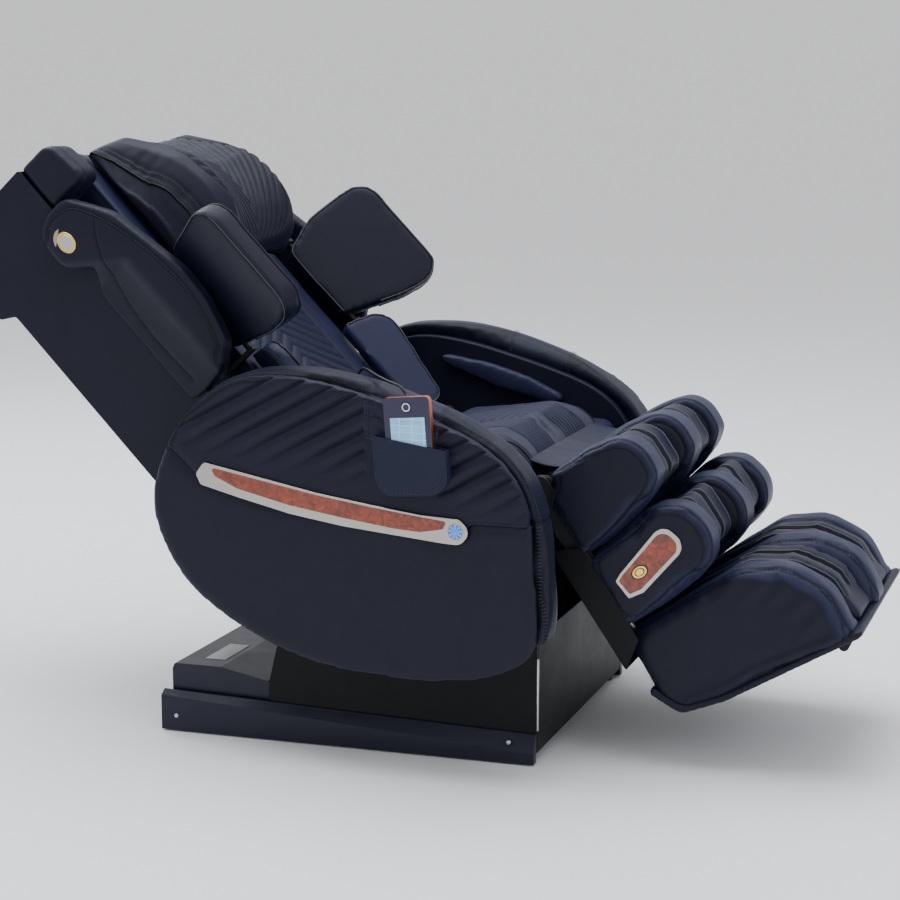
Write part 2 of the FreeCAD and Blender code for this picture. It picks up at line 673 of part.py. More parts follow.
def make_back():
    """Frame, shell, pads and massage track of the reclining back."""
    half_rail = rail_depth / 2
    inner = rail_half - rail_thick
    top = back_length - 25
    points = [(-28, -half_rail, 22), (top, -half_rail, 4), (top, half_rail, 4), (-28, half_rail, 22)]
    rail = prism(BACK, points, inner, rail_half)
    rail = rail.cut(cylinder(BACK, 0, 0, shaft_r + running, inner - 1, rail_half + 1))
    hollow = block(BACK, 40, top - wall, -half_rail + wall, half_rail - wall,
                   inner + wall, rail_half - wall)
    rail = rail.cut(hollow)
    pieces = both(rail)
    low_cross = 40.0
    high_cross = top - 25
    for u in (low_cross, high_cross):
        pieces.append(block(BACK, u, u + 20, guide_v - 20, half_rail - move_gap, -inner, inner))
    hanger = block(BACK, back_length - 160, back_length - 120, -back_behind + 5, -half_rail,
                   inner, rail_half)
    pieces += both(hanger)
    slab_top = 60.0
    slab_low = back_depth - back_behind
    for ear_u in (306.0, 516.0):
        ear = prism(BACK, [(ear_u, slab_top), (ear_u + 8, slab_top), (ear_u + 8, wing_hinge_v + 9),
                           (ear_u, wing_hinge_v + 9)], wing_hinge_x - 9, wing_hinge_x + 9)
        pieces += both(ear)
    pin = rod(BACK.at(314.0, wing_hinge_v, wing_hinge_x), BACK.at(516.0, wing_hinge_v, wing_hinge_x),
              wing_pin_r)
    pieces += both(pin)
    pieces += fork(BACK, *back_lever, back_drive_x,
                   [(low_cross, guide_v - 20), (low_cross + 20, guide_v - 20)])
    add("back_frame", *pieces)

    t = leg_shell_wall
    shell_low = 215.0
    hump = 28.0
    step = back_length - 180
    outer = prism(BACK, [(shell_low, -back_behind, 4), (step, -back_behind, 10),
                         (step + 16, -back_behind - hump, 10),
                         (back_length, -back_behind - hump, 50),
                         (back_length, slab_low, 6), (shell_low, slab_low, 6)], -back_half, back_half)
    inner_cut = prism(BACK, [(shell_low - 5, -back_behind + t, 4), (step + t, -back_behind + t, 10),
                             (step + 16 + t, -back_behind - hump + t, 10),
                             (back_length - t, -back_behind - hump + t, 46),
                             (back_length - t, slab_low + 5), (shell_low - 5, slab_low + 5)],
                      -back_half + t, back_half - t)
    add("back_shell", outer.cut(inner_cut))

    pad = prism(BACK, [(back_pad_low, half_rail, 10), (back_length - t - gap, half_rail, 4),
                       (back_length - t - gap, back_pad_front, 24), (back_pad_low, back_pad_front, 24)],
                -seat_half, seat_half)
    side = block(BACK, shell_low + 20, 727, half_rail + 2, slab_top,
                 seat_half + 10, bolster_inner - gap, 8.0)
    add("back_pads", pad, *both(side))

    bolster = prism(BACK, [(302, slab_low, 12), (302, 92, 20), (332, 132, 30), (410, 154, 60),
                           (480, 157, 60), (640, 124, 60), (722, 72, 30), (722, slab_low, 12)],
                    bolster_inner, bolster_outer)
    ear_low = -12.0
    ear = prism(BACK, [(596, slab_low + 30), (590, slab_low + 4), (628, ear_low, 30), (704, ear_low, 30),
                       (722, slab_low - 4), (722, slab_low + 30)], back_half + gap, bolster_outer)
    bolster = joined([bolster, ear])
    head = prism(BACK, [(728, slab_low, 4), (back_length, slab_low, 4), (back_length, 106, 24),
                        (728, 118, 20)], seat_half + 10, back_half - 2)
    add("side_bolsters", *both(bolster), *both(head))

    badge = Part.Face(Part.Wire([oval(658, 25, 29, 23, bolster_outer)])).extrude(X_AXIS * 4)
    add("oval_badges", *both(badge))

    flap = wing_frame(172.0, 90.0, 49.3)
    wing = prism(flap, [(80, 34, 10), (312, 34, 10), (296, 112, 30), (262, 134, 40), (80, 104, 20)], 0, 30)
    add("lumbar_wings", *both(wing))

    wing = wing_frame(wing_hinge_x, wing_hinge_v, wing_lean)
    half = wing_thickness / 2
    points = [(334, -half + 2, 12), (498, -half + 2, 12), (530, 60, 40), (530, wing_reach, 50),
              (275, wing_reach, 50), (290, 110, 40)]
    panel = prism(wing, points, -half, half)
    bore = rod(BACK.at(200, wing_hinge_v, wing_hinge_x), BACK.at(700, wing_hinge_v, wing_hinge_x),
               wing_pin_r + running)
    add("shoulder_wing_left", panel.cut(bore))
    add("shoulder_wing_right", mirrored(panel.cut(bore)))

    pillow = [(812, 92, 10), (800, 134, 30), (713, 200, 60), (650, 240, 60), (580, 246, 60),
              (505, 215, 50), (488, 140, 30), (520, 92, 20)]
    add("head_pillow", prism(BACK, pillow, -pillow_half, pillow_half))

    make_massage(low_cross + 20, high_cross)


def oval(u, v, reach_u, reach_v, w):
    """An ellipse drawn on the side of the back."""
    centre = BACK.at(u, v, w)
    ellipse = Part.Ellipse(centre + BACK.first * reach_u, centre + BACK.second * reach_v, centre)
    return ellipse.toShape()


def make_massage(low, high):
    """Guide rods, screw, carriage and the two kneading arms with their rollers."""
    rods = []
    for x in (-guide_x, guide_x):
        rods.append(rod(BACK.at(low, guide_v, x), BACK.at(high, guide_v, x), guide_r))
    rods.append(rod(BACK.at(low, guide_v, 0), BACK.at(high, guide_v, 0), screw_r))
    motor = block(BACK, low - 20 - 52, low - 20, guide_v - 20, guide_v + 20, -100, -30, 6.0)
    add("lift_drive", *rods, motor)

    middle = carriage_u
    half = carriage_height / 2
    chassis = block(BACK, middle - half, middle + half, guide_v - 22, guide_v + 22, -190, 190, 8.0)
    for x in (-guide_x, guide_x):
        chassis = chassis.cut(rod(BACK.at(0, guide_v, x), BACK.at(900, guide_v, x), guide_r + running))
    chassis = chassis.cut(rod(BACK.at(0, guide_v, 0), BACK.at(900, guide_v, 0), screw_r + running))
    for x in (-roller_x, roller_x):
        chassis = chassis.cut(block(BACK, middle + 5, middle + half + 1, guide_v + 12, guide_v + 23,
                                    x - 8 - move_gap, x + move_gap))
    motor = block(BACK, middle - 30, middle + 30, guide_v - 70, guide_v - 22, -60, 60, 10.0)
    arm_v = guide_v + 30
    reach = half + roller_r + 6
    pins = []
    for x in (-roller_x, roller_x):
        lug = block(BACK, middle - 12, middle + 12, guide_v + 22, arm_v + 8, x - 16, x - 10)
        pin = cylinder(BACK, middle, arm_v, roller_pin_r, x - 10, x + 9)
        pins += [lug, pin]
    add("massage_carriage", joined([chassis, motor] + pins))

    for name, x in (("left", roller_x), ("right", -roller_x)):
        arm = block(BACK, middle - 10, middle + reach + 10, arm_v - 7, arm_v + 9, x - 8, x, 6.0)
        arm = arm.cut(cylinder(BACK, middle, arm_v, roller_pin_r + running, x - 9, x + 9))
        axle = cylinder(BACK, middle + reach, arm_v, roller_pin_r, x - 0.5, x + 30)
        add("kneading_arm_" + name, joined([arm, axle]))
        ball = cylinder(BACK, middle + reach, arm_v, roller_r, x + 2, x + 2 + roller_width)
        ball = ball.cut(cylinder(BACK, middle + reach, arm_v, roller_pin_r + running, x, x + 60))
        add("kneading_roller_" + name, ball)


# ---------------------------------------------------------------- leg rest
def make_leg():
    """Frame, shell, calf pads and badges of the leg rest."""
    start = seat_plate_inner + plate + move_gap
    side = prism(LEG, [(-15, -15, 12), (-15, 14, 12), (255, 8, 6), (255, -22, 6), (60, -26, 10)],
                 start, start + plate)
    pin = cylinder(LEG, 0, 0, leg_pin_r, seat_plate_inner - move_gap, start + 1)
    pieces = both(joined([side, pin]))
    for l in (60.0, 225.0):
        pieces.append(tube_bar(LEG, l, l + 20, -24, -4, -start, start, rail_wall))
    pieces += fork(LEG, *leg_lever, leg_drive_x, [(60, -24), (80, -24)])
    add("leg_frame", *pieces)

    t = leg_shell_wall
    rear = shell_rear
    half = leg_half - 5
    wallpiece = block(LEG, 104, 340, rear, rear + t, -half, half)
    flange = prism(LEG, [(104, rear + t), (340, rear + t), (310, 4, 4), (130, 12, 4)], half - t, half)
    add("leg_shell", wallpiece, *both(flange))

    knee = [(-10, 22, 10), (-12, 118, 30), (0, 186, 50), (40, 208, 60), (90, 206, 30), (112, 176, 12),
            (144, 22, 6)]
    calf = [(152, 22, 6), (128, 170, 20), (150, 214, 50), (215, 230, 60), (262, 205, 40), (282, 22, 6)]
    ridges = []
    for shape in (knee, calf):
        side = [(l, m - 12 if m > 100 else m, *rest) for l, m, *rest in shape]
        ridges += both(prism(LEG, side, leg_half - ridge_width, leg_half))
        ridges.append(prism(LEG, shape, -centre_ridge / 2, centre_ridge / 2))
    add("leg_ridges", *ridges)

    knee_floor = [(0, 26, 10), (-2, 120, 30), (30, 206 - trough_depth, 30), (96, 206 - trough_depth, 20),
                  (132, 26, 6)]
    calf_floor = [(160, 26, 6), (142, 226 - trough_depth, 20), (240, 226 - trough_depth, 30), (274, 26, 6)]
    floors = []
    for shape in (knee_floor, calf_floor):
        floors += both(prism(LEG, shape, centre_ridge / 2 + gap, leg_half - ridge_width - gap))
    add("leg_troughs", *floors)

    face = leg_half
    plate_points = [(240, 32, 4), (244, 60, 4), (215, 168, 24), (160, 153, 24), (196, 42, 4), (203, 28, 4)]
    add("calf_badges", *both(prism(LEG, plate_points, face, face + 3)))
    wood_points = [(234, 38, 3), (237, 60, 3), (211, 158, 18), (169, 147, 18), (201, 44, 3), (206, 34, 3)]
    add("calf_inlays", *both(prism(LEG, wood_points, face + 3, face + 4)))


def make_foot():
    """The sliding foot rest: shell, rails, side walls, centre ridge and sole pads."""
    sole = 494.0
    heel = shell_rear + leg_shell_wall + 2
    side = [(289, heel + 4, 20), (282, 120, 40), (284, 212, 60), (325, 288, 60), (400, 330, 60),
            (sole - 4, 322, 20), (470, 60, 30), (452, -8, 30), (400, heel, 20)]
    ridge = foot_half - ridge_width
    walls = both(prism(LEG, side, ridge, foot_half))
    middle = [(296, heel + 12, 20), (286, 130, 40), (290, 230, 50), (330, 306, 50), (396, 350, 40),
              (sole - 6, 344, 20), (462, 60, 30), (440, heel + 20, 20)]
    walls.append(prism(LEG, middle, -centre_ridge / 2, centre_ridge / 2))
    add("foot_ridges", *walls)

    floors = []
    heel_pad = [(300, heel + 8, 10), (296, 60, 20), (400, 66, 20), (438, 40, 10), (430, heel + 10, 10)]
    toe_pad = [(404, 72, 20), (380, 250, 40), (420, 318, 20), (sole - 14, 326, 10), (462, 90, 10),
               (444, 44, 10)]
    for shape in (heel_pad, toe_pad):
        floors += both(prism(LEG, shape, centre_ridge / 2 + gap, ridge - gap))
    add("foot_troughs", *floors)

    across = foot_half - 6
    under = [(sole, 318, 3), (474, 60, 20), (456, -12, 20), (404, heel - 4, 10),
             (408, heel - 10, 10), (462, -20, 20), (480, 56, 20), (sole + 6, 316, 3)]
    bumper = rod(LEG.at(sole + 4, 280, -across + 40), LEG.at(sole + 4, 280, across - 40), 9)
    skin = prism(LEG, under, -across, across)
    add("foot_shell", skin.cut(bumper), bumper)

    rails = []
    for x in (-foot_rail_x, foot_rail_x):
        rails.append(rod(LEG.at(90, -33, x), LEG.at(299, -33, x), foot_rail_r))
    add("foot_rails", *rails)


# ---------------------------------------------------------------- drives
def make_drives():
    """The three linear drives that recline the back, raise the legs and tilt the seat."""
    ends = (("back", SEAT.at(*back_drive_start), BACK.at(*back_lever), back_drive_x, 58.0, back_drive_slack),
            ("leg", SEAT.at(*leg_drive_start), LEG.at(*leg_lever), leg_drive_x, 40.0, leg_drive_slack),
            ("seat", ROW.at(seat_drive_y, seat_drive_z), SEAT.at(*seat_lever), seat_drive_x, 8.0,
             seat_drive_slack))
    for name, start, end, x, stroke, slack in ends:
        housing, stem = drive(start, end, x, stroke, slack)
        add(name + "_motor", housing)
        add(name + "_rod", stem)


# ---------------------------------------------------------------- build and write
make_base()
make_stand()
make_arms()
make_handset()
make_seat()
make_back()
make_leg()
make_foot()
make_drives()

os.makedirs("parts", exist_ok=True)
for name, solids in PARTS.items():
    shape = solids[0] if len(solids) == 1 else Part.makeCompound(solids)
    shape.exportStep("parts/" + name + ".step")
print(len(PARTS), "nodes written")
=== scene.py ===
"""A zero gravity massage chair: its leather pads, trims, panels, base and handset."""
import json
import logging
import math
from dataclasses import dataclass
from enum import Enum
from typing import Iterable, Sequence

import bmesh
import bpy
import numpy as np
from mathutils import Matrix, Vector
from mathutils.bvhtree import BVHTree


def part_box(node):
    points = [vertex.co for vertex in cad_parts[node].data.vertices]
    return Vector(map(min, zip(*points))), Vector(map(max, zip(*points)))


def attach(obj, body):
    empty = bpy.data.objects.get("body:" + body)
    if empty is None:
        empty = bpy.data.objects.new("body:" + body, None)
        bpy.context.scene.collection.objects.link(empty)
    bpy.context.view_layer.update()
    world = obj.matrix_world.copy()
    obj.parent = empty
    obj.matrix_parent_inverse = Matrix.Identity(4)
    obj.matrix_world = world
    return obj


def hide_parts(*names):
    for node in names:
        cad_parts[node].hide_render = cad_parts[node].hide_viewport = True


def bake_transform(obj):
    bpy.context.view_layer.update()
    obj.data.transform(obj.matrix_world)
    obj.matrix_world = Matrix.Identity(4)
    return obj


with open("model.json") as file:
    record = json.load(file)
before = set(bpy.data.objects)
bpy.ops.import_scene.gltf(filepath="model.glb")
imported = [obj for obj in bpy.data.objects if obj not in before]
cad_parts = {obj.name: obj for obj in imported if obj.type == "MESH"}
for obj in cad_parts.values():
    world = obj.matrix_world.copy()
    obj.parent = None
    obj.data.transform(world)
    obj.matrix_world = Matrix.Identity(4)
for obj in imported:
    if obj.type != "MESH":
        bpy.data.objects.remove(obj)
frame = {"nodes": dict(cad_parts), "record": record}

log = logging.getLogger("massage_chair")

MM = 0.001
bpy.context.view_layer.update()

Colour = tuple[float, float, float]
Point = tuple[float, float]
Place = tuple[float, float, float]
Value = float | bpy.types.NodeSocket
Tint = Colour | bpy.types.NodeSocket

FLAT_ANGLE = math.radians(1.0)
BEVEL_ANGLE = math.radians(28.0)
SHARP_ANGLE = math.radians(48.0)
CLOTH_STEPS = 20
SEAM_LIFT = 0.3
ACROSS = Vector((1.0, 0.0, 0.0))
OUTSIDE_X = -0.6


class Facing(Enum):
    """The way a face looks in its side frame, as the index of the local normal."""

    OUT = 1
    ACROSS = 2


# ---------------------------------------------------------------- places
@dataclass(frozen=True)
class SideFrame:
    """A frame in millimetres: u and v in the side view, x across the chair."""

    y: float
    z: float
    angle: float
    flip: bool = False

    def axes(self) -> tuple[Vector, Vector]:
        """The two directions of the frame."""
        turn = math.radians(self.angle)
        u = Vector((0.0, math.cos(turn), math.sin(turn)))
        v = Vector((0.0, -math.sin(turn), math.cos(turn)))
        return u, -v if self.flip else v

    def at(self, u: float, v: float, x: float = 0.0) -> Vector:
        """A place of this frame, in metres."""
        first, second = self.axes()
        return (Vector((x, self.y, self.z)) + first * u + second * v) * MM

    def local(self, points: np.ndarray) -> np.ndarray:
        """Points in metres as (u, v, x) in this frame, in millimetres."""
        first, second = self.axes()
        moved = points / MM - np.array((0.0, self.y, self.z))
        return np.stack((moved @ np.array(first), moved @ np.array(second), moved[:, 0]), axis=1)

    def local_directions(self, directions: np.ndarray) -> np.ndarray:
        """Directions as (u, v, x) in this frame."""
        first, second = self.axes()
        return np.stack((directions @ np.array(first), directions @ np.array(second),
                         directions[:, 0]), axis=1)


def joint(name: str) -> dict:
    """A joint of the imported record, by name."""
    return next(j for j in frame["record"]["behaviour"]["joints"] if j["name"] == name)


def frame_of(hinge: str, slide: str, sign: float, flip: bool = False) -> SideFrame:
    """The side frame that starts at a hinge and runs along a slide.

    Args:
        hinge: the joint whose place is the frame's origin.
        slide: the joint whose axis is the frame's first direction.
        sign: 1 along the slide, -1 against it.
        flip: True if v is a quarter turn back from u.

    Returns:
        The frame.
    """
    _, y, z = joint(hinge)["pos_m"]
    _, along_y, along_z = joint(slide)["axis"]
    angle = math.degrees(math.atan2(sign * along_z, sign * along_y))
    return SideFrame(y / MM, z / MM, angle, flip)


ROW = SideFrame(0.0, 0.0, 0.0)
BACK = frame_of("back_recline", "carriage_travel", 1.0)
LEG = frame_of("leg_lift", "foot_extend", -1.0, flip=True)
SEAT = SideFrame(-47.0, 397.0, 172.6, flip=True)


@dataclass(frozen=True)
class FlapFrame:
    """A frame on a flap of the back: u along the back, v out from its root, w through it."""

    root_x: float
    root_v: float
    lean: float

    def at(self, u: float, v: float, w: float = 0.0) -> Vector:
        """A place on the left hand flap, in metres."""
        turn = math.radians(self.lean)
        _, out = BACK.axes()
        start = BACK.at(u, self.root_v, self.root_x)
        reach = (ACROSS * math.sin(turn) + out * math.cos(turn)) * v
        return start + (reach + self.normal() * w) * MM

    def normal(self) -> Vector:
        """The direction through the flap."""
        turn = math.radians(self.lean)
        _, out = BACK.axes()
        return ACROSS * math.cos(turn) - out * math.sin(turn)


# ---------------------------------------------------------------- meshes
def new_object(name: str, mesh: bpy.types.Mesh) -> bpy.types.Object:
    """An object of that mesh, at the origin, in the scene."""
    piece = bpy.data.objects.new(name, mesh)
    bpy.context.scene.collection.objects.link(piece)
    return piece


def from_bmesh(name: str, shape: bmesh.types.BMesh, smooth: bool = True) -> bpy.types.Object:
    """A finished bmesh as an object.

    Args:
        name: the piece's name.
        shape: the bmesh, which is freed.
        smooth: True for smooth shading.

    Returns:
        The object.
    """
    bmesh.ops.recalc_face_normals(shape, faces=shape.faces)
    for face in shape.faces:
        face.smooth = smooth
    mesh = bpy.data.meshes.new(name)
    shape.to_mesh(mesh)
    shape.free()
    return new_object(name, mesh)


def ring(name: str, radius: float, thickness: float, centre: Vector, sides: int,
         steps: int) -> bpy.types.Object:
    """A round ring that faces across the chair.

    Args:
        name: the piece's name.
        radius: of its middle line, in millimetres.
        thickness: the radius of its section, in millimetres.
        centre: in metres.
        sides: the corners of its section.
        steps: the parts of its round.

    Returns:
        The ring.
    """
    shape = bmesh.new()
    bmesh.ops.create_circle(shape, segments=sides, radius=thickness * MM,
                            matrix=Matrix.Translation((0.0, radius * MM, 0.0)))
    bmesh.ops.spin(shape, geom=shape.verts[:] + shape.edges[:], cent=(0, 0, 0), axis=(1, 0, 0),
                   angle=math.tau, steps=steps, use_merge=True)
    bmesh.ops.translate(shape, vec=centre, verts=shape.verts)
    return from_bmesh(name, shape)


def oval(name: str, radius: float, squash: float, height: float, slope: float, sides: int,
         pose: Matrix) -> bpy.types.Object:
    """A flat oval disc with sloping edges.

    Args:
        name: the piece's name.
        radius: half its length, in millimetres.
        squash: its width as a share of its length.
        height: in millimetres.
        slope: how far its top is drawn in, in millimetres.
        sides: the corners of its outline.
        pose: where it lies.

    Returns:
        The disc.
    """
    shape = bmesh.new()
    bmesh.ops.create_cone(shape, cap_ends=True, segments=sides, radius1=radius * MM,
                          radius2=(radius - slope) * MM, depth=height * MM)
    bmesh.ops.scale(shape, vec=(1.0, squash, 1.0), verts=shape.verts)
    bmesh.ops.transform(shape, matrix=pose, verts=shape.verts)
    return from_bmesh(name, shape, smooth=False)


def bake(piece: bpy.types.Object) -> None:
    """Applies every modifier of the piece."""
    graph = bpy.context.evaluated_depsgraph_get()
    mesh = bpy.data.meshes.new_from_object(piece.evaluated_get(graph), depsgraph=graph)
    piece.modifiers.clear()
    old = piece.data
    piece.data = mesh
    bpy.data.meshes.remove(old)
    mesh.name = piece.name


def merged(node: str) -> bmesh.types.BMesh:
    """A closed copy of a CAD node's mesh, with its loose triangles joined up."""
    shape = bmesh.new()
    shape.from_mesh(frame["nodes"][node].data)
    bmesh.ops.remove_doubles(shape, verts=shape.verts, dist=1e-6)
    return shape


def island(start: bmesh.types.BMVert) -> set[bmesh.types.BMVert]:
    """Every vertex that is joined to this one."""
    found = {start}
    edge = [start]
    while edge:
        here = edge.pop()
        for link in here.link_edges:
            other = link.other_vert(here)
            if other not in found:
                found.add(other)
                edge.append(other)
    return found


def height_of(solid: bmesh.types.BMesh) -> float:
    """The mean height of a solid's corners."""
    return sum(v.co.z for v in solid.verts) / len(solid.verts)


def solids(node: str) -> list[bmesh.types.BMesh]:
    """The closed solids of a CAD node, each in a bmesh of its own, from -X to +X."""
    whole = merged(node)
    whole.verts.ensure_lookup_table()
    left = set(whole.verts)
    groups = []
    while left:
        group = island(next(iter(left)))
        left -= group
        groups.append({v.index for v in group})
    parts = []
    for group in groups:
        part = whole.copy()
        part.verts.ensure_lookup_table()
        others = [v for v in part.verts if v.index not in group]
        if others:
            bmesh.ops.delete(part, geom=others, context="VERTS")
        parts.append(part)
    whole.free()

    def place(part: bmesh.types.BMesh) -> tuple[float, float]:
        """The solid's middle across the chair, then its height."""
        across = sum(v.co.x for v in part.verts) / len(part.verts)
        return round(across, 3), height_of(part)

    return sorted(parts, key=place)


def refined(node: str, bevel: float = 1.0, only: bmesh.types.BMesh | None = None,
            name: str = "") -> bpy.types.Object:
    """A hard CAD part with its flat faces joined up and its sharp edges softly broken.

    Args:
        node: the CAD node it is a copy of.
        bevel: the width of the broken edges, in millimetres.
        only: one solid of the node, or None for all of them.
        name: the piece's name, or empty for the node's name with _body.

    Returns:
        The new piece.
    """
    shape = only or merged(node)
    bmesh.ops.recalc_face_normals(shape, faces=shape.faces)
    bmesh.ops.dissolve_limit(shape, angle_limit=FLAT_ANGLE, verts=shape.verts, edges=shape.edges)
    sharp = [e for e in shape.edges if e.is_manifold and e.calc_face_angle(0.0) > BEVEL_ANGLE]
    bmesh.ops.bevel(shape, geom=sharp, offset=bevel * MM, offset_type="OFFSET", segments=2,
                    profile=0.5, affect="EDGES", clamp_overlap=True, material=-1)
    bmesh.ops.remove_doubles(shape, verts=shape.verts, dist=2e-6)
    piece = from_bmesh(name or node + "_body", shape)
    piece.modifiers.new("Flat faces", "WEIGHTED_NORMAL").keep_sharp = True
    piece.data.set_sharp_from_angle(angle=SHARP_ANGLE)
    bake(piece)
    return piece


def remeshed(piece: bpy.types.Object, voxel: float) -> None:
    """Rebuilds the piece's skin as even quads of that size, in millimetres."""
    change = piece.modifiers.new("Even skin", "REMESH")
    change.mode = "VOXEL"
    change.voxel_size = voxel * MM
    change.use_smooth_shade = True
    bake(piece)


def relaxed(piece: bpy.types.Object, times: int) -> None:
    """Rounds the piece's corners by letting each point drift to its neighbours."""
    shape = bmesh.new()
    shape.from_mesh(piece.data)
    for _ in range(times):
        bmesh.ops.smooth_vert(shape, verts=shape.verts, factor=0.5, use_axis_x=True,
                              use_axis_y=True, use_axis_z=True)
    shape.to_mesh(piece.data)
    shape.free()


def finer(piece: bpy.types.Object) -> None:
    """One level of subdivision, applied."""
    change = piece.modifiers.new("Finer skin", "SUBSURF")
    change.levels = 1
    change.render_levels = 1
    bake(piece)


def read_points(mesh: bpy.types.Mesh, what: str = "co") -> np.ndarray:
    """Each point's place in metres, or what else it has three numbers for."""
    flat = np.zeros(len(mesh.vertices) * 3)
    mesh.vertices.foreach_get(what, flat)
    return flat.reshape(-1, 3)


def plumped(piece: bpy.types.Object, pressure: float, limit: float,
            stiffness: float = 15.0) -> None:
    """Blows the cover up like stuffed leather with a cloth simulation, and keeps the result.

    Args:
        piece: the pad, with an even skin.
        pressure: the push of the stuffing.
        limit: how far a point may move, in millimetres.
        stiffness: how little the leather stretches.
    """
    before = read_points(piece.data)
    cloth = piece.modifiers.new("Stuffing", "CLOTH")
    cloth.settings.quality = 4
    cloth.settings.mass = 0.3
    cloth.settings.tension_stiffness = stiffness
    cloth.settings.compression_stiffness = stiffness
    cloth.settings.shear_stiffness = stiffness / 3
    cloth.settings.bending_stiffness = 0.5
    cloth.settings.use_pressure = True
    cloth.settings.uniform_pressure_force = pressure
    cloth.settings.effector_weights.gravity = 0.0
    cloth.collision_settings.use_collision = False
    scene = bpy.context.scene
    for step in range(1, CLOTH_STEPS + 1):
        scene.frame_set(step)
    bake(piece)
    scene.frame_set(1)
    moved = read_points(piece.data) - before
    reach = np.linalg.norm(moved, axis=1, keepdims=True)
    capped = moved * np.minimum(1.0, limit * MM / np.maximum(reach, 1e-9))
    piece.data.vertices.foreach_set("co", (before + capped).ravel())
    piece.data.update()


def mirrored(piece: bpy.types.Object, name: str) -> bpy.types.Object:
    """The same piece on the other side of the chair."""
    mesh = piece.data.copy()
    mesh.name = name
    shape = bmesh.new()
    shape.from_mesh(mesh)
    bmesh.ops.scale(shape, vec=Vector((-1.0, 1.0, 1.0)), verts=shape.verts)
    bmesh.ops.reverse_faces(shape, faces=shape.faces)
    shape.to_mesh(mesh)
    shape.free()
    return new_object(name, mesh)


def smoothstep(value: np.ndarray, low: float, high: float) -> np.ndarray:
    """0 below low, 1 above high and a smooth rise between."""
    share = np.clip((value - low) / (high - low), 0.0, 1.0)
    return share * share * (3.0 - 2.0 * share)


def curve_through(points: Sequence[Sequence[float]], steps: int = 8,
                  closed: bool = False) -> np.ndarray:
    """A smooth line through points.

    Args:
        points: the places it goes through, of any dimension.
        steps: how many short runs there are between two of them.
        closed: True if it comes back to its start.

    Returns:
        The line's points.
    """
    known = np.array([tuple(p) for p in points], float)
    count = len(known)
    spans = count if closed else count - 1
    line = []
    for index in range(spans):
        picks = [index - 1, index, index + 1, index + 2]
        if closed:
            a, b, c, d = (known[i % count] for i in picks)
        else:
            a, b, c, d = (known[min(max(i, 0), count - 1)] for i in picks)
        for step in range(steps):
            t = step / steps
            line.append(0.5 * (2 * b + (c - a) * t + (2 * a - 5 * b + 4 * c - d) * t * t
                               + (3 * b - a - 3 * c + d) * t ** 3))
    if not closed:
        line.append(known[-1])
    return np.array(line)


def path_distance(places: np.ndarray, path: np.ndarray) -> np.ndarray:
    """How far each place is from a line of short runs, in a plane."""
    least = np.full(len(places), 1e9)
    for start, end in zip(path[:-1], path[1:]):
        run = end - start
        size = max(float(run @ run), 1e-9)
        share = np.clip(((places - start) @ run) / size, 0.0, 1.0)
        reach = np.linalg.norm(places - start - share[:, None] * run, axis=1)
        least = np.minimum(least, reach)
    return least


def stripe_distance(value: np.ndarray, pitch: float) -> np.ndarray:
    """How far each value is from the nearest multiple of the pitch."""
    return np.abs(value - np.round(value / pitch) * pitch)


def surface_of(*pieces: bpy.types.Object) -> BVHTree:
    """The faces of some pieces, ready to be looked up."""
    shape = bmesh.new()
    for piece in pieces:
        shape.from_mesh(piece.data)
    tree = BVHTree.FromBMesh(shape)
    shape.free()
    return tree


class Skin:
    """The skin of a pad, read in a side frame, into which seams and channels are pressed."""

    def __init__(self, piece: bpy.types.Object, side: SideFrame) -> None:
        """Reads the piece's points and normals.

        Args:
            piece: the pad.
            side: the frame its seams are drawn in.
        """
        self.piece = piece
        self.side = side
        self.points = read_points(piece.data)
        self.normals = read_points(piece.data, "normal")
        local = side.local(self.points)
        turned = side.local_directions(self.normals)
        self.u, self.v, self.x = local.T
        self.nu, self.nv, self.nx = turned.T
        self.places = local[:, :2]
        self.crease_shade = np.zeros(len(local))
        self.panel = np.zeros(len(local))
        self.shift = np.zeros(len(local))

    def facing(self, way: Facing, low: float = 0.35, high: float = 0.75,
               sign: float = 0.0) -> np.ndarray:
        """1 where the skin looks that way, 0 where it looks away.

        Args:
            way: the direction.
            low: the least share that counts.
            high: the share that counts in full.
            sign: 1 or -1 for one side only, 0 for both.

        Returns:
            The mask.
        """
        normal = (self.nu, self.nv, self.nx)[way.value]
        return smoothstep(np.abs(normal) if sign == 0.0 else normal * sign, low, high)

    def press(self, distance: np.ndarray, width: float, depth: float,
              mask: np.ndarray | float = 1.0, dark: float = 1.0) -> None:
        """Presses a line into the skin.

        Args:
            distance: each point's distance from the line, in millimetres.
            width: half the width of the valley.
            depth: its depth.
            mask: 1 where it is, 0 where it isn't.
            dark: how much painted shade its bottom gets.
        """
        shape = np.exp(-(distance / width) ** 2) * mask
        self.shift -= depth * shape
        # the valley's bottom gets painted shade, kept in the crease mask
        line = np.exp(-(distance / (0.35 * width + 0.6)) ** 2) * mask
        self.crease_shade = np.maximum(self.crease_shade, dark * line)

    def swell(self, height: np.ndarray | float) -> None:
        """Lifts the skin by so many millimetres."""
        self.shift = self.shift + height

    def move(self, out: np.ndarray | float = 0.0, across: np.ndarray | float = 0.0) -> None:
        """Moves the skin along the frame's v and across the chair, by so many millimetres."""
        self.v = self.v + out
        self.x = self.x + across
        self.places = np.column_stack((self.u, self.v))
        self.points = self.points + np.outer(out * np.ones(len(self.u)), self.side.axes()[1]) * MM
        self.points[:, 0] += across * MM

    def write(self) -> None:
        """Puts the pressed skin and its masks into the piece."""
        mesh = self.piece.data
        moved = self.points + self.normals * (self.shift * MM)[:, None]
        mesh.vertices.foreach_set("co", moved.ravel())
        for name, values in (("crease_shade", self.crease_shade), ("panel", self.panel)):
            store = mesh.attributes.new(name, "FLOAT", "POINT")
            store.data.foreach_set("value", values.astype(np.float32))
        mesh.update()


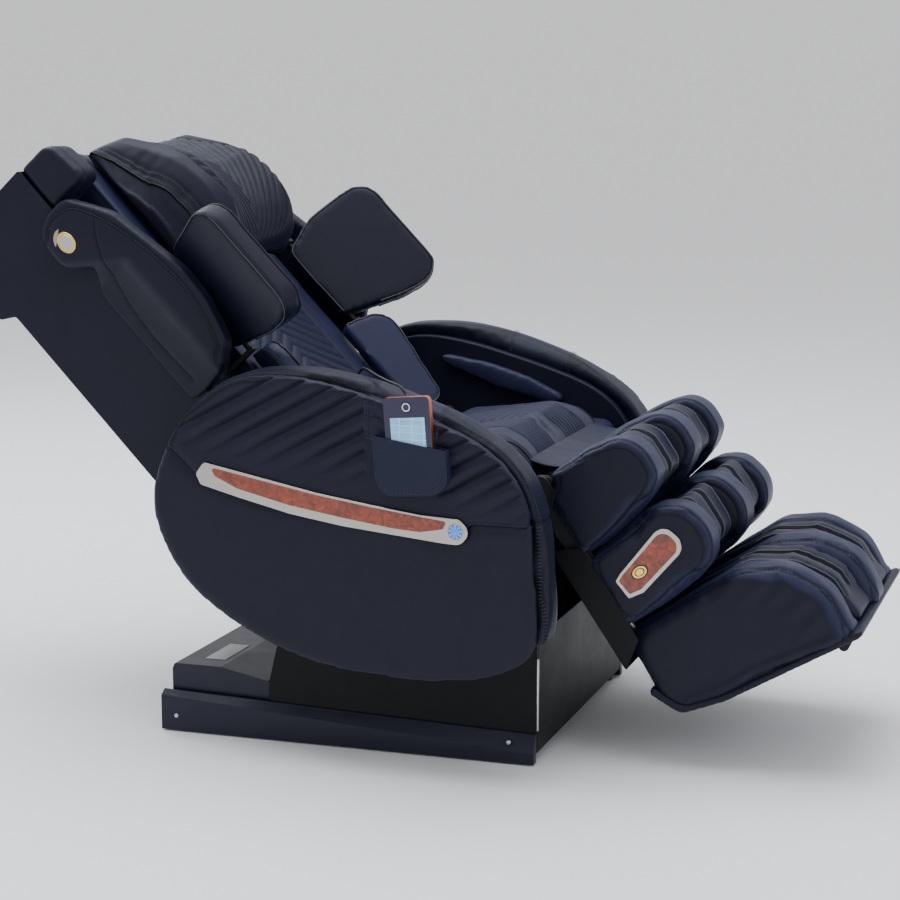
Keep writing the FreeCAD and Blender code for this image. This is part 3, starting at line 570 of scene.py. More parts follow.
def contour(tree: BVHTree, side: SideFrame, x: float, centre: Point, sweep: Point,
            count: int = 48, lift: float = 0.0) -> list[Vector]:
    """The line in which a piece's skin meets a plane across the chair.

    Args:
        tree: the piece's faces.
        side: the frame of the centre and the angles.
        x: the plane.
        centre: a place inside the piece.
        sweep: the first and last angle about the centre, in degrees from u towards v.
        count: how many points are looked for.
        lift: how far off the skin the line lies, in millimetres.

    Returns:
        The line's points, in metres.
    """
    line = []
    for step in range(count):
        turn = math.radians(sweep[0] + (sweep[1] - sweep[0]) * step / (count - 1))
        far = side.at(centre[0] + 700 * math.cos(turn), centre[1] + 700 * math.sin(turn), x)
        middle = side.at(*centre, x)
        hit, normal, _, _ = tree.ray_cast(far, (middle - far).normalized(), (middle - far).length)
        if hit is not None:
            line.append(hit + normal * (lift * MM))
    return line


def laid_on(tree: BVHTree, line: Iterable[Sequence[float]], lift: float) -> list[Vector]:
    """A line moved onto the nearest skin.

    Args:
        tree: the skin.
        line: its points, in metres.
        lift: how far off the skin it lies, in millimetres.

    Returns:
        The moved points.
    """
    moved = []
    for point in line:
        hit, normal, _, _ = tree.find_nearest(Vector(point))
        moved.append(hit + normal * (lift * MM))
    return moved


def tube(name: str, line: Sequence[Sequence[float]], radius: float,
         closed: bool = False, sides: int = 3) -> bpy.types.Object:
    """A round tube along a line of points.

    Args:
        name: the piece's name.
        line: its points, in metres.
        radius: in millimetres.
        closed: True if it comes back to its start.
        sides: the bevel resolution of its section.

    Returns:
        The tube, as a mesh.
    """
    curve = bpy.data.curves.new(name, "CURVE")
    curve.dimensions = "3D"
    curve.bevel_depth = radius * MM
    curve.bevel_resolution = sides
    curve.use_fill_caps = not closed
    spline = curve.splines.new("POLY")
    spline.points.add(len(line) - 1)
    for place, point in zip(spline.points, line):
        place.co = (*point, 1.0)
    spline.use_cyclic_u = closed
    holder = new_object(name + "_line", curve)
    mesh = bpy.data.meshes.new_from_object(holder)
    bpy.data.objects.remove(holder)
    bpy.data.curves.remove(curve)
    mesh.name = name
    for face in mesh.polygons:
        face.use_smooth = True
    return new_object(name, mesh)


def spaced(line: Sequence[Sequence[float]], step: float) -> list[tuple[Vector, Vector]]:
    """Even places along a line, each with the line's direction there.

    Args:
        line: its points, in metres.
        step: the distance between places, in millimetres.

    Returns:
        Pairs of place and direction.
    """
    known = np.array([tuple(p) for p in line])
    runs = np.linalg.norm(np.diff(known, axis=0), axis=1)
    along = np.concatenate(([0.0], np.cumsum(runs)))
    wanted = np.arange(step * MM / 2, along[-1], step * MM)
    places = []
    for value in wanted:
        spot = Vector([np.interp(value, along, known[:, i]) for i in range(3)])
        ahead = Vector([np.interp(value + 5e-4, along, known[:, i]) for i in range(3)])
        behind = Vector([np.interp(value - 5e-4, along, known[:, i]) for i in range(3)])
        places.append((spot, (ahead - behind).normalized()))
    return places


def stitches(name: str, lines: Iterable[Sequence[Sequence[float]]], length: float = 4.0,
             step: float = 6.5, radius: float = 0.55, turned: bool = False,
             tree: BVHTree | None = None) -> bpy.types.Object:
    """A row of sewn stitches along each line, as small tapered beads of thread.

    Args:
        name: the piece's name.
        lines: the lines, in metres.
        length: of one stitch, in millimetres.
        step: from one stitch to the next.
        radius: of the thread.
        turned: True if the stitches lie across the line.
        tree: the skin they lie on, which tells turned stitches how to lie.

    Returns:
        The stitches, in one piece.
    """
    shape = bmesh.new()
    for line in lines:
        if len(line) < 2:
            continue
        for spot, along in spaced(line, step):
            if turned and tree is not None:
                _, normal, _, _ = tree.find_nearest(spot)
                along = along.cross(normal).normalized()
            pose = along.to_track_quat("Z", "Y").to_matrix().to_4x4()
            bmesh.ops.create_cone(shape, cap_ends=True, segments=5, radius1=radius * MM,
                                  radius2=0.7 * radius * MM, depth=length * MM,
                                  matrix=Matrix.Translation(spot) @ pose)
    return from_bmesh(name, shape)


# ---------------------------------------------------------------- finishes
class Pen:
    """Places and joins the nodes of one shader or node group."""

    def __init__(self, tree: bpy.types.NodeTree) -> None:
        """Starts on a node tree."""
        self.tree = tree

    def add(self, kind: str, inputs: dict | None = None, **settings: object) -> bpy.types.Node:
        """A new node.

        Args:
            kind: the node's type name.
            inputs: values or sockets for its inputs, by name or number.
            **settings: the node's own settings.

        Returns:
            The node.
        """
        node = self.tree.nodes.new(kind)
        for key, value in settings.items():
            setattr(node, key, value)
        for key, value in (inputs or {}).items():
            if isinstance(value, bpy.types.NodeSocket):
                self.tree.links.new(value, node.inputs[key])
            else:
                node.inputs[key].default_value = value
        return node

    def place(self) -> bpy.types.NodeSocket:
        """The Object coordinates."""
        return self.add("ShaderNodeTexCoord").outputs["Object"]

    def noise(self, vector: bpy.types.NodeSocket, scale: Value, detail: float,
              **more: float) -> bpy.types.NodeSocket:
        """The strength of a noise texture.

        Args:
            vector: the coordinates.
            scale: its scale.
            detail: how many layers it has.
            **more: further inputs, by name.

        Returns:
            The socket with the strength.
        """
        inputs = {"Vector": vector, "Scale": scale, "Detail": detail, **more}
        return self.add("ShaderNodeTexNoise", inputs).outputs["Fac"]

    def mix(self, factor: Value, first: Tint, second: Tint) -> bpy.types.NodeSocket:
        """A mix of two colours by a factor, each a value or a socket."""
        node = self.add("ShaderNodeMix", data_type="RGBA")
        for index, value in ((0, factor), (6, first), (7, second)):
            if isinstance(value, bpy.types.NodeSocket):
                self.tree.links.new(value, node.inputs[index])
            elif index == 0:
                node.inputs[index].default_value = value
            else:
                node.inputs[index].default_value = (*value[:3], 1.0)
        return node.outputs[2]

    def maths(self, operation: str, *values: Value) -> bpy.types.NodeSocket:
        """The result of a Math node."""
        node = self.add("ShaderNodeMath", dict(enumerate(values)), operation=operation)
        return node.outputs[0]

    def spread(self, value: bpy.types.NodeSocket, low: float, high: float, start: float = 0.0,
               end: float = 1.0) -> bpy.types.NodeSocket:
        """A value moved from the range start to end into the range low to high."""
        node = self.add("ShaderNodeMapRange", {"Value": value, "From Min": start, "From Max": end,
                                               "To Min": low, "To Max": high})
        return node.outputs[0]


GROUPS: dict[str, bpy.types.NodeTree] = {}


def new_group(name: str, inputs: Sequence[str], outputs: Sequence[str]) -> bpy.types.NodeTree:
    """An empty node group with number sockets of these names."""
    tree = bpy.data.node_groups.new(name, "ShaderNodeTree")
    for way, sockets in (("INPUT", inputs), ("OUTPUT", outputs)):
        for socket in sockets:
            tree.interface.new_socket(socket, in_out=way, socket_type="NodeSocketFloat")
    return tree


def grain_group() -> bpy.types.NodeTree:
    """Leather or moulded grain on Object coordinates: its height, and slow patches."""
    if "grain" in GROUPS:
        return GROUPS["grain"]
    tree = new_group("Surface grain", ("Scale", "Patch"), ("Height", "Patches", "Specks"))
    pen = Pen(tree)
    given = pen.add("NodeGroupInput")
    place = pen.place()
    drift = pen.add("ShaderNodeTexNoise", {"Vector": place, "Scale": 90.0, "Detail": 2.0})
    bent = pen.add("ShaderNodeVectorMath", {0: drift.outputs["Color"], 1: (0.0016,) * 3},
                   operation="MULTIPLY")
    moved = pen.add("ShaderNodeVectorMath", {0: place, 1: bent.outputs[0]}, operation="ADD")
    pebbles = pen.add("ShaderNodeTexVoronoi", {"Vector": moved.outputs[0],
                                               "Scale": given.outputs["Scale"]},
                      feature="SMOOTH_F1")
    pores = pen.noise(place, 2200.0, 2.0)
    round_top = pen.spread(pebbles.outputs["Distance"], 1.0, 0.0, 0.0, 0.75)
    height = pen.maths("MULTIPLY_ADD", pores, 0.35, round_top)
    patches = pen.noise(place, given.outputs["Patch"], 4.0, Roughness=0.6)
    out = pen.add("NodeGroupOutput")
    tree.links.new(height, out.inputs["Height"])
    tree.links.new(patches, out.inputs["Patches"])
    tree.links.new(pores, out.inputs["Specks"])
    GROUPS["grain"] = tree
    return tree


def handling_group() -> bpy.types.NodeTree:
    """Marks of use: fine dust on faces that look up, and smudges where hands go."""
    if "handling" in GROUPS:
        return GROUPS["handling"]
    tree = new_group("Marks of use", ("Amount",), ("Dust", "Smudge"))
    pen = Pen(tree)
    given = pen.add("NodeGroupInput")
    place = pen.place()
    normal = pen.add("ShaderNodeNewGeometry").outputs["Normal"]
    height = pen.add("ShaderNodeSeparateXYZ", {0: normal}).outputs["Z"]
    up = pen.spread(height, 0.0, 1.0, 0.3, 1.0)
    thick = pen.spread(pen.noise(place, 30.0, 6.0), 0.0, 1.0, 0.45, 0.75)
    dust = pen.maths("MULTIPLY", pen.maths("MULTIPLY", up, thick), given.outputs["Amount"])
    smear = pen.noise(place, 14.0, 3.0, Distortion=1.2)
    smudge = pen.maths("MULTIPLY", smear, given.outputs["Amount"])
    out = pen.add("NodeGroupOutput")
    tree.links.new(dust, out.inputs["Dust"])
    tree.links.new(smudge, out.inputs["Smudge"])
    GROUPS["handling"] = tree
    return tree


MADE: dict[str, bpy.types.Material] = {}


@dataclass(frozen=True)
class Finish:
    """What a surface is made of: its material's name and the record's slot it belongs to."""

    name: str
    slot: str
    colour: Colour
    roughness: float = 0.45

    def material(self) -> bpy.types.Material:
        """The material, made once."""
        if self.name not in MADE:
            made = bpy.data.materials.new(self.name)
            made.use_nodes = True
            made.node_tree.nodes.clear()
            pen = Pen(made.node_tree)
            shader = pen.add("ShaderNodeBsdfPrincipled")
            out = pen.add("ShaderNodeOutputMaterial")
            made.node_tree.links.new(shader.outputs[0], out.inputs[0])
            self.draw(pen, shader)
            MADE[self.name] = made
        return MADE[self.name]

    def draw(self, pen: Pen, shader: bpy.types.Node) -> None:
        """Draws the finish on a fresh shader."""
        raise NotImplementedError

    def texture_node(self, pen: Pen, scale: float, patch: float) -> bpy.types.Node:
        """The grain group, with the scales of its grain and its patches."""
        node = pen.add("ShaderNodeGroup", node_tree=grain_group())
        node.inputs["Scale"].default_value = scale
        node.inputs["Patch"].default_value = patch
        return node

    def handling_node(self, pen: Pen, amount: float) -> bpy.types.Node:
        """The group with the marks of use, by their amount."""
        node = pen.add("ShaderNodeGroup", node_tree=handling_group())
        node.inputs["Amount"].default_value = amount
        return node

    def finish_with(self, pen: Pen, shader: bpy.types.Node, base: bpy.types.NodeSocket,
                    rough: bpy.types.NodeSocket) -> None:
        """Joins the colour and the roughness to the shader."""
        pen.tree.links.new(base, shader.inputs["Base Color"])
        pen.tree.links.new(rough, shader.inputs["Roughness"])

    def tone(self, factor: float) -> Colour:
        """The finish's colour, darker or lighter."""
        return tuple(min(1.0, c * factor) for c in self.colour)

    def bump(self, pen: Pen, shader: bpy.types.Node, height: bpy.types.NodeSocket,
             strength: float, reach: float) -> None:
        """Feeds a height into the shader's normal.

        Args:
            pen: the tree's pen.
            shader: the Principled node.
            height: the socket with the height.
            strength: from 0 to 1.
            reach: the real height of 1, in millimetres.
        """
        node = pen.add("ShaderNodeBump", {"Height": height, "Strength": strength,
                                          "Distance": reach * MM})
        pen.tree.links.new(node.outputs[0], shader.inputs["Normal"])


@dataclass(frozen=True)
class Leather(Finish):
    """Coated leather with a pebbled grain, painted shade in its creases, and lighter panels that
    are also painted light where they face up or out.
    """

    panel_and_top_light_colour: Colour = (0.017, 0.02, 0.052)
    grain: float = 620.0
    grain_height: float = 0.16
    sheen: float = 0.05

    def draw(self, pen: Pen, shader: bpy.types.Node) -> None:
        """Draws grain, patches, painted shade in the creases, and panels with painted top light."""
        grain = self.texture_node(pen, self.grain, 7.0)
        use = self.handling_node(pen, 0.5)
        crease_shade = pen.add("ShaderNodeAttribute", attribute_name="crease_shade").outputs["Fac"]
        panel = pen.add("ShaderNodeAttribute", attribute_name="panel").outputs["Fac"]
        base = pen.mix(grain.outputs["Patches"], self.tone(0.75), self.tone(1.25))
        # lighter panels; on the seat, the back pad and the ridges this mask follows faces that look
        # up or out, which paints light on their tops
        base = pen.mix(panel, base, self.panel_and_top_light_colour)
        specks = pen.spread(grain.outputs["Specks"], 0.0, 0.25, 0.55, 0.8)
        base = pen.mix(specks, base, self.tone(1.5))
        dust = pen.maths("MULTIPLY", use.outputs["Dust"], 0.012)
        base = pen.mix(dust, base, (0.35, 0.36, 0.4))
        # painted shade: the bottoms of pressed seams and channels go almost black
        base = pen.mix(pen.maths("MULTIPLY", crease_shade, 0.92), base, self.tone(0.12))
        rough = pen.spread(use.outputs["Smudge"], self.roughness - 0.05, self.roughness + 0.12,
                           0.1, 0.4)
        rough = pen.maths("MULTIPLY_ADD", crease_shade, 0.25, rough)
        self.finish_with(pen, shader, base, rough)
        shader.inputs["Sheen Weight"].default_value = self.sheen
        shader.inputs["Sheen Roughness"].default_value = 0.4
        shader.inputs["Sheen Tint"].default_value = (0.35, 0.45, 1.0, 1.0)
        shader.inputs["Specular IOR Level"].default_value = 0.2
        self.bump(pen, shader, grain.outputs["Height"], 0.55, self.grain_height)


@dataclass(frozen=True)
class Moulded(Finish):
    """Moulded plastic, rubber or powder coat: an even fine texture with marks of use."""

    texture: float = 1500.0
    texture_height: float = 0.04
    coat: float = 0.0
    gloss: float = 0.3

    def draw(self, pen: Pen, shader: bpy.types.Node) -> None:
        """Draws the texture, dust and smudges."""
        grain = self.texture_node(pen, self.texture, 12.0)
        use = self.handling_node(pen, 1.0)
        base = pen.mix(grain.outputs["Patches"], self.tone(0.88), self.tone(1.12))
        dust = pen.maths("MULTIPLY", use.outputs["Dust"], 0.02)
        base = pen.mix(dust, base, (0.4, 0.4, 0.4))
        rough = pen.spread(use.outputs["Smudge"], self.roughness - 0.03, self.roughness + 0.06,
                           0.2, 0.8)
        self.finish_with(pen, shader, base, rough)
        shader.inputs["Coat Weight"].default_value = self.coat
        shader.inputs["Specular IOR Level"].default_value = self.gloss
        shader.inputs["Coat Roughness"].default_value = 0.15
        self.bump(pen, shader, grain.outputs["Height"], 0.4, self.texture_height)


@dataclass(frozen=True)
class Metal(Finish):
    """Bright metal with fine drawn lines along one direction."""

    drawn: Place = (1.0, 0.06, 1.0)

    def draw(self, pen: Pen, shader: bpy.types.Node) -> None:
        """Draws the drawn lines and the smudges."""
        use = self.handling_node(pen, 1.0)
        place = pen.place()
        stretched = pen.add("ShaderNodeMapping", {"Vector": place, "Scale": self.drawn})
        lines = pen.noise(stretched.outputs[0], 1800.0, 3.0)
        base = pen.mix(lines, self.tone(0.86), self.tone(1.1))
        rough = pen.spread(use.outputs["Smudge"], self.roughness - 0.05, self.roughness + 0.12,
                           0.3, 0.7)
        self.finish_with(pen, shader, base, rough)
        shader.inputs["Metallic"].default_value = 1.0
        self.bump(pen, shader, lines, 0.25, 0.02)


@dataclass(frozen=True)
class Burl(Finish):
    """Lacquered burl veneer: swirled figure, dark eyes and pores under a clear coat."""

    def draw(self, pen: Pen, shader: bpy.types.Node) -> None:
        """Draws the figure."""
        place = pen.place()
        swirl = pen.noise(place, 55.0, 7.0, Roughness=0.62, Distortion=1.6)
        eyes = pen.add("ShaderNodeTexVoronoi", {"Vector": place, "Scale": 110.0, "Randomness": 1.0})
        pores = pen.noise(place, 900.0, 2.0)
        figure = pen.spread(swirl, 0.0, 1.0, 0.36, 0.66)
        base = pen.mix(figure, self.tone(0.38), self.tone(1.25))
        eye = pen.spread(eyes.outputs["Distance"], 0.75, 0.0, 0.02, 0.2)
        base = pen.mix(eye, base, self.tone(0.22))
        base = pen.mix(pen.spread(pores, 0.0, 0.45, 0.58, 0.75), base, self.tone(0.3))
        rough = pen.spread(swirl, self.roughness - 0.06, self.roughness + 0.06)
        self.finish_with(pen, shader, base, rough)
        shader.inputs["Coat Weight"].default_value = 0.4
        shader.inputs["Coat Roughness"].default_value = 0.08
        self.bump(pen, shader, pores, 0.15, 0.03)


@dataclass(frozen=True)
class Plywood(Finish):
    """Plywood with a long grain."""

    def draw(self, pen: Pen, shader: bpy.types.Node) -> None:
        """Draws the grain."""
        place = pen.place()
        long = pen.add("ShaderNodeMapping", {"Vector": place, "Scale": (1.0, 0.12, 1.0)})
        rings = pen.noise(long.outputs[0], 120.0, 5.0, Distortion=0.8)
        base = pen.mix(pen.spread(rings, 0.0, 1.0, 0.35, 0.65), self.tone(0.6), self.tone(1.15))
        rough = pen.spread(rings, self.roughness - 0.05, self.roughness + 0.1)
        self.finish_with(pen, shader, base, rough)
        self.bump(pen, shader, rings, 0.3, 0.1)


@dataclass(frozen=True)
class Screen(Finish):
    """A lit display with plain blocks in rows."""

    rows: float = 62.0

    def draw(self, pen: Pen, shader: bpy.types.Node) -> None:
        """Draws the blocks and the glow."""
        place = pen.place()
        split = pen.add("ShaderNodeSeparateXYZ", {0: place})
        flat = pen.add("ShaderNodeCombineXYZ", {"X": split.outputs["Y"], "Y": split.outputs["Z"]})
        blocks = pen.add("ShaderNodeTexBrick", {"Vector": flat.outputs[0], "Scale": self.rows,
                                                "Mortar Size": 0.06, "Mortar Smooth": 0.2,
                                                "Bias": -0.2, "Brick Width": 1.3, "Row Height": 0.7,
                                                "Color1": (*self.tone(1.0), 1.0),
                                                "Color2": (*self.tone(0.72), 1.0),
                                                "Mortar": (*self.tone(1.35), 1.0)}, offset=0.0)
        glow = pen.noise(place, 30.0, 2.0)
        base = pen.mix(pen.spread(glow, 0.0, 0.5, 0.35, 0.7), blocks.outputs["Color"],
                       self.tone(1.3))
        pen.tree.links.new(base, shader.inputs["Emission Color"])
        shader.inputs["Emission Strength"].default_value = 0.35
        rough = pen.spread(glow, self.roughness - 0.04, self.roughness + 0.04)
        self.finish_with(pen, shader, base, rough)
        shader.inputs["Coat Weight"].default_value = 0.6


@dataclass(frozen=True)
class Jewel(Finish):
    """A clear coloured lens with light rays from its middle."""

    centre: Place = (0.0, 0.0, 0.0)

    def draw(self, pen: Pen, shader: bpy.types.Node) -> None:
        """Draws the rays."""
        place = pen.place()
        moved = pen.add("ShaderNodeMapping", {"Vector": place,
                                              "Location": [-c for c in self.centre]})
        split = pen.add("ShaderNodeSeparateXYZ", {0: moved.outputs[0]})
        turn = pen.maths("ARCTAN2", split.outputs["Z"], split.outputs["Y"])
        rays = pen.maths("SINE", pen.maths("MULTIPLY", turn, 9.0))
        sparkle = pen.noise(place, 420.0, 2.0)
        bright = pen.maths("MULTIPLY_ADD", rays, 0.35, sparkle)
        base = pen.mix(pen.spread(bright, 0.0, 1.0, 0.1, 0.9), self.tone(0.45), self.tone(2.6))
        pen.tree.links.new(base, shader.inputs["Emission Color"])
        shader.inputs["Emission Strength"].default_value = 0.35
        shader.inputs["Coat Weight"].default_value = 1.0
        rough = pen.spread(sparkle, self.roughness - 0.04, self.roughness + 0.04)
        self.finish_with(pen, shader, base, rough)


NAVY = Leather("Navy leather", "leather_navy", (0.0062, 0.0066, 0.0165), 0.42)
QUILTED = Leather("Quilted leather", "leather_quilt", (0.0066, 0.0072, 0.0185), 0.41)
PANEL = Leather("Panel leather", "leather_blue", (0.009, 0.0105, 0.027), 0.41)
POCKET = Leather("Pocket leather", "leather_pocket", (0.011, 0.0125, 0.031), 0.43, grain=760.0)
PIPING = Leather("Piping", "leather_blue", (0.0035, 0.0038, 0.006), 0.4, grain=900.0,
                 grain_height=0.05)
# pale blue-grey for thin tubes: the seat's outer piping and the folds' piping, and beside the wing
# piping a painted highlight
PALE_PIPING_AND_HIGHLIGHT = Leather("Pale piping", "leather_blue", (0.085, 0.09, 0.115), 0.4, grain=900.0,
                      grain_height=0.05)
THREAD = Moulded("Thread", "leather_blue", (0.03, 0.033, 0.06), 0.6, texture=2500.0)
BLACK_PLASTIC = Moulded("Black panel", "black_plastic", (0.0048, 0.0048, 0.006), 0.5,
                         gloss=0.16)
MATTE_BLACK = Moulded("Textured black", "matte_black", (0.012, 0.012, 0.014), 0.55,
                      texture=1100.0, texture_height=0.08)
SKIRT = Moulded("Skirt paint", "skirt_metal", (0.0075, 0.008, 0.022), 0.36, texture=600.0,
                texture_height=0.02)
FRAME_PAINT = Moulded("Frame paint", "frame_steel", (0.018, 0.018, 0.02), 0.45)
RUBBER = Moulded("Rubber", "rubber", (0.012, 0.012, 0.012), 0.7, texture_height=0.06)
CORD = Moulded("Cord sheath", "cord_black", (0.009, 0.009, 0.011), 0.38)
HANDSET_FACE = Moulded("Handset face", "handset_shell", (0.018, 0.017, 0.05), 0.2, coat=0.5,
                       texture_height=0.01)
COPPER = Metal("Copper edge", "handset_shell", (0.75, 0.2, 0.07), 0.3)
WHITE = Moulded("White ring", "white_plastic", (0.8, 0.8, 0.83), 0.3)
GREY = Moulded("Pump grey", "pump_grey", (0.09, 0.095, 0.1), 0.5)
NYLON = Moulded("Roller nylon", "roller_white", (0.62, 0.6, 0.55), 0.4)
CHROME = Metal("Champagne chrome", "chrome_trim", (0.43, 0.41, 0.37), 0.16)
STEEL = Metal("Bright steel", "bright_steel", (0.55, 0.56, 0.58), 0.3)
CAST = Metal("Cast housing", "drive_housing", (0.4, 0.41, 0.43), 0.48, drawn=(1.0, 1.0, 1.0))
GOLD = Metal("Gold badge", "gold_badge", (0.86, 0.6, 0.16), 0.26)
BURL = Burl("Red burl", "burl_wood", (0.26, 0.034, 0.007), 0.26)
# near black plywood: painted shade where the seat pan shows through the gap between the seat, the
# arm and the knee
SHADED_PLY = Plywood("Plywood", "arm_core", (0.06, 0.045, 0.03), 0.6)
LABEL = Moulded("Blank plate", "chrome_trim", (0.42, 0.42, 0.41), 0.45)


# ---------------------------------------------------------------- fitting pieces to the chair
def dress(piece: bpy.types.Object, finish: Finish) -> None:
    """Gives a piece its material."""
    piece.data.materials.clear()
    piece.data.materials.append(finish.material())


def fit(piece: bpy.types.Object, body: str, finish: Finish, *nodes: str,
        fill: float | None = None) -> bpy.types.Object:
    """Gives a piece its finish and hangs it on a body.

    Args:
        piece: the finished piece.
        body: the body it rides on.
        finish: what it is made of.
        *nodes: the CAD nodes it stands for.
        fill: not used.

    Returns:
        The piece.
    """
    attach(piece, body)
    dress(piece, finish)
    if nodes:
        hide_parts(*nodes)
    log.info("%s rides on %s in %s", piece.name, body, finish.name)
    return piece


def fit_pair(piece: bpy.types.Object, body: str, finish: Finish, *nodes: str,
             fill: float | None = None, left_body: str = "") -> bpy.types.Object:
    """Fits a right hand piece, whose name ends in _right, and its mirror image.

    Args:
        piece: the right hand piece.
        body: the body it rides on.
        finish: what both are made of.
        *nodes: the CAD nodes both stand for.
        fill: how full they are, if they are padded.
        left_body: the left piece's body, if it has its own.

    Returns:
        The left hand piece.
    """
    twin = mirrored(piece, piece.name.replace("_right", "_left"))
    fit(piece, body, finish, *nodes, fill=fill)
    return fit(twin, left_body or body, finish, *nodes, fill=fill)


def pad(name: str, solid: bmesh.types.BMesh, voxel: float, soft: int, fine: bool = True,
        stuffing: float = 0.0, limit: float = 8.0) -> bpy.types.Object:
    """A soft pad from a plain CAD solid.

    Args:
        name: the pad's name.
        solid: the CAD solid.
        voxel: the size of its skin's quads before they are divided, in millimetres.
        soft: how far its corners are rounded.
        fine: True to divide the skin once.
        stuffing: the cloth pressure that plumps it, or 0 for none.
        limit: how far the stuffing may push a point, in millimetres.

    Returns:
        The pad.
    """
    piece = from_bmesh(name, solid)
    remeshed(piece, voxel)
    relaxed(piece, soft)
    if stuffing:
        plumped(piece, stuffing, limit)
        relaxed(piece, 2)
    if fine:
        finer(piece)
    return piece


def scaled_about(solid: bmesh.types.BMesh, centre: Vector, factors: Sequence[float]) -> None:
    """Scales a solid about a place, by a factor for each axis."""
    bmesh.ops.scale(solid, vec=Vector(factors), space=Matrix.Translation(-centre),
                    verts=solid.verts)


def shrunk(solid: bmesh.types.BMesh, by: float) -> bmesh.types.BMesh:
    """A solid drawn in by so many millimetres on every side of its box."""
    low = Vector([min(v.co[i] for v in solid.verts) for i in range(3)])
    high = Vector([max(v.co[i] for v in solid.verts) for i in range(3)])
    size = high - low
    scaled_about(solid, (low + high) / 2, [1 - 2 * by * MM / size[i] for i in range(3)])
    return solid


# ---------------------------------------------------------------- arm pods
@dataclass
class ArmPod:
    """The arm pods: quilted and plain side panels, rolls, bands, pads, pockets and trim."""

    channel_pitch: float = 30.0
    channel_rise: float = 28.0
    channel_depth: float = 5.6
    seam_inset: float = 17.0
    middle: Point = (-60.0, 430.0)
    roll_outer: float = -437.0
    roll_inner: float = -357.0
    cross_seam: float = 452.0
    cross_front: float = -283.0
    band: Point = (-229.0, -97.0)
    strip_level: float = 502.0
    strip_rise: float = 0.157

    def build(self) -> None:
        """Builds both pods."""
        roll = self.make_roll()
        quilt = self.make_quilt()
        self.make_side_panel()
        self.make_band(surface_of(roll, quilt))
        self.make_pads()
        self.make_pocket()
        self.make_trim()
        frame_piece = refined("arm_frames", 6.0)
        fit(frame_piece, "base", NAVY, "arm_frames")

    def make_roll(self) -> bpy.types.Object:
        """The roll along the top and front of the pod, with its seams and stitching."""
        solid = solids("arm_rolls")[0]
        roll = pad("arm_roll_right", shrunk(solid, 2.0), 6.5, 7, stuffing=5.0, limit=10.0)
        skin = Skin(roll, ROW)
        front = smoothstep(self.cross_front - skin.u, -6.0, 6.0)
        skin.press(np.abs(skin.v - self.cross_seam), 3.5, 3.0, front)
        skin.press(np.abs(skin.x - self.roll_outer - 8.0), 3.0, 1.6, 0.9)
        skin.press(np.abs(skin.x - self.roll_inner - 4.0), 3.0, 1.6, 0.9)
        wrinkles = np.sin(skin.u * 0.045 + 1.3 * np.sin(skin.v * 0.03))
        skin.swell(0.5 * wrinkles)
        skin.write()
        tree = surface_of(roll)
        fit_pair(roll, "base", NAVY, "arm_rolls", fill=0.8)
        rows = [contour(tree, ROW, x, self.middle, (15, 200), 90, SEAM_LIFT)
                for x in (self.roll_outer + 12.0, self.roll_inner)]
        rows.append(contour(tree, ROW, self.roll_outer + 4.5, self.middle, (15, 178), 90,
                            SEAM_LIFT))
        fit_pair(stitches("arm_roll_stitches_right", rows), "base", THREAD)
        front_seam = contour(tree, ROW, self.roll_outer + 8.0, self.middle, (177, 212), 40, 0.2)
        heavy = stitches("arm_front_stitches_right", [front_seam], length=9.0, step=6.0,
                         radius=0.8, turned=True, tree=tree)
        fit_pair(heavy, "base", THREAD)
        return roll

    def make_quilt(self) -> bpy.types.Object:
        """The upper side panel, quilted in slanting channels that fade towards the trim."""
        quilt = pad("arm_quilt_right", solids("arm_quilts")[0], 5.5, 4)
        skin = Skin(quilt, ROW)
        outside = skin.facing(Facing.ACROSS, sign=-1.0)
        turn = math.radians(self.channel_rise)
        across = skin.u * math.sin(turn) + skin.v * math.cos(turn)
        above = skin.v - self.strip_level - self.strip_rise * skin.u
        fade = smoothstep(above, 2.0, 75.0)
        pocket = smoothstep(np.abs(skin.u - sum(self.band) / 2), 60.0, 66.0)
        mask = outside * fade * pocket
        distance = stripe_distance(across, self.channel_pitch)
        skin.swell(3.0 * mask * (1.0 - np.sqrt(np.cos(np.pi * distance / self.channel_pitch))))
        skin.press(distance, 3.6, self.channel_depth, mask)
        skin.swell(3.5 * smoothstep(-skin.nv, 0.3, 0.7))
        edge = self.pod_edge(skin.places)
        skin.press(np.abs(edge - self.seam_inset), 2.6, 1.8,
                   outside * smoothstep(skin.u, 60.0, 110.0))
        skin.write()
        tree = surface_of(quilt)
        fit_pair(quilt, "base", QUILTED, "arm_quilts", fill=0.7)
        self.make_quilt_stitches(tree)
        return quilt

    def pod_edge(self, places: np.ndarray) -> np.ndarray:
        """How far places are inside the pod's rear and top edge."""
        edge = curve_through(((299, 440), (292, 514), (269, 559), (239, 612), (202, 640),
                              (164, 667), (118, 684), (37, 686), (-35, 676), (-107, 659),
                              (-177, 642), (-282, 597), (-334, 563), (-368, 526), (-386, 485)), 4)
        return path_distance(places, edge)

    def make_quilt_stitches(self, tree: BVHTree) -> None:
        """Stitches along the bottom of each channel."""
        turn = math.radians(self.channel_rise)
        lines = []
        for index in range(12, 26):
            offset = index * self.channel_pitch
            run = []
            for along in np.arange(-420.0, 420.0, 6.0):
                y = offset * math.sin(turn) - along * math.cos(turn)
                z = offset * math.cos(turn) + along * math.sin(turn)
                near_pocket = self.band[0] - 4 < y < self.band[1] + 4
                if z > self.strip_level + self.strip_rise * y + 22 and not near_pocket:
                    start = Vector((OUTSIDE_X, y * MM, z * MM))
                    hit, normal, _, _ = tree.ray_cast(start, ACROSS, 0.15)
                    if hit is not None and normal.x < -0.6:
                        run.append(hit + normal * 0.0002)
                        continue
                if len(run) > 1:
                    lines.append(run)
                run = []
            if len(run) > 1:
                lines.append(run)
        fit_pair(stitches("arm_quilt_stitches_right", lines, 3.2, 5.4, 0.45), "base", THREAD)

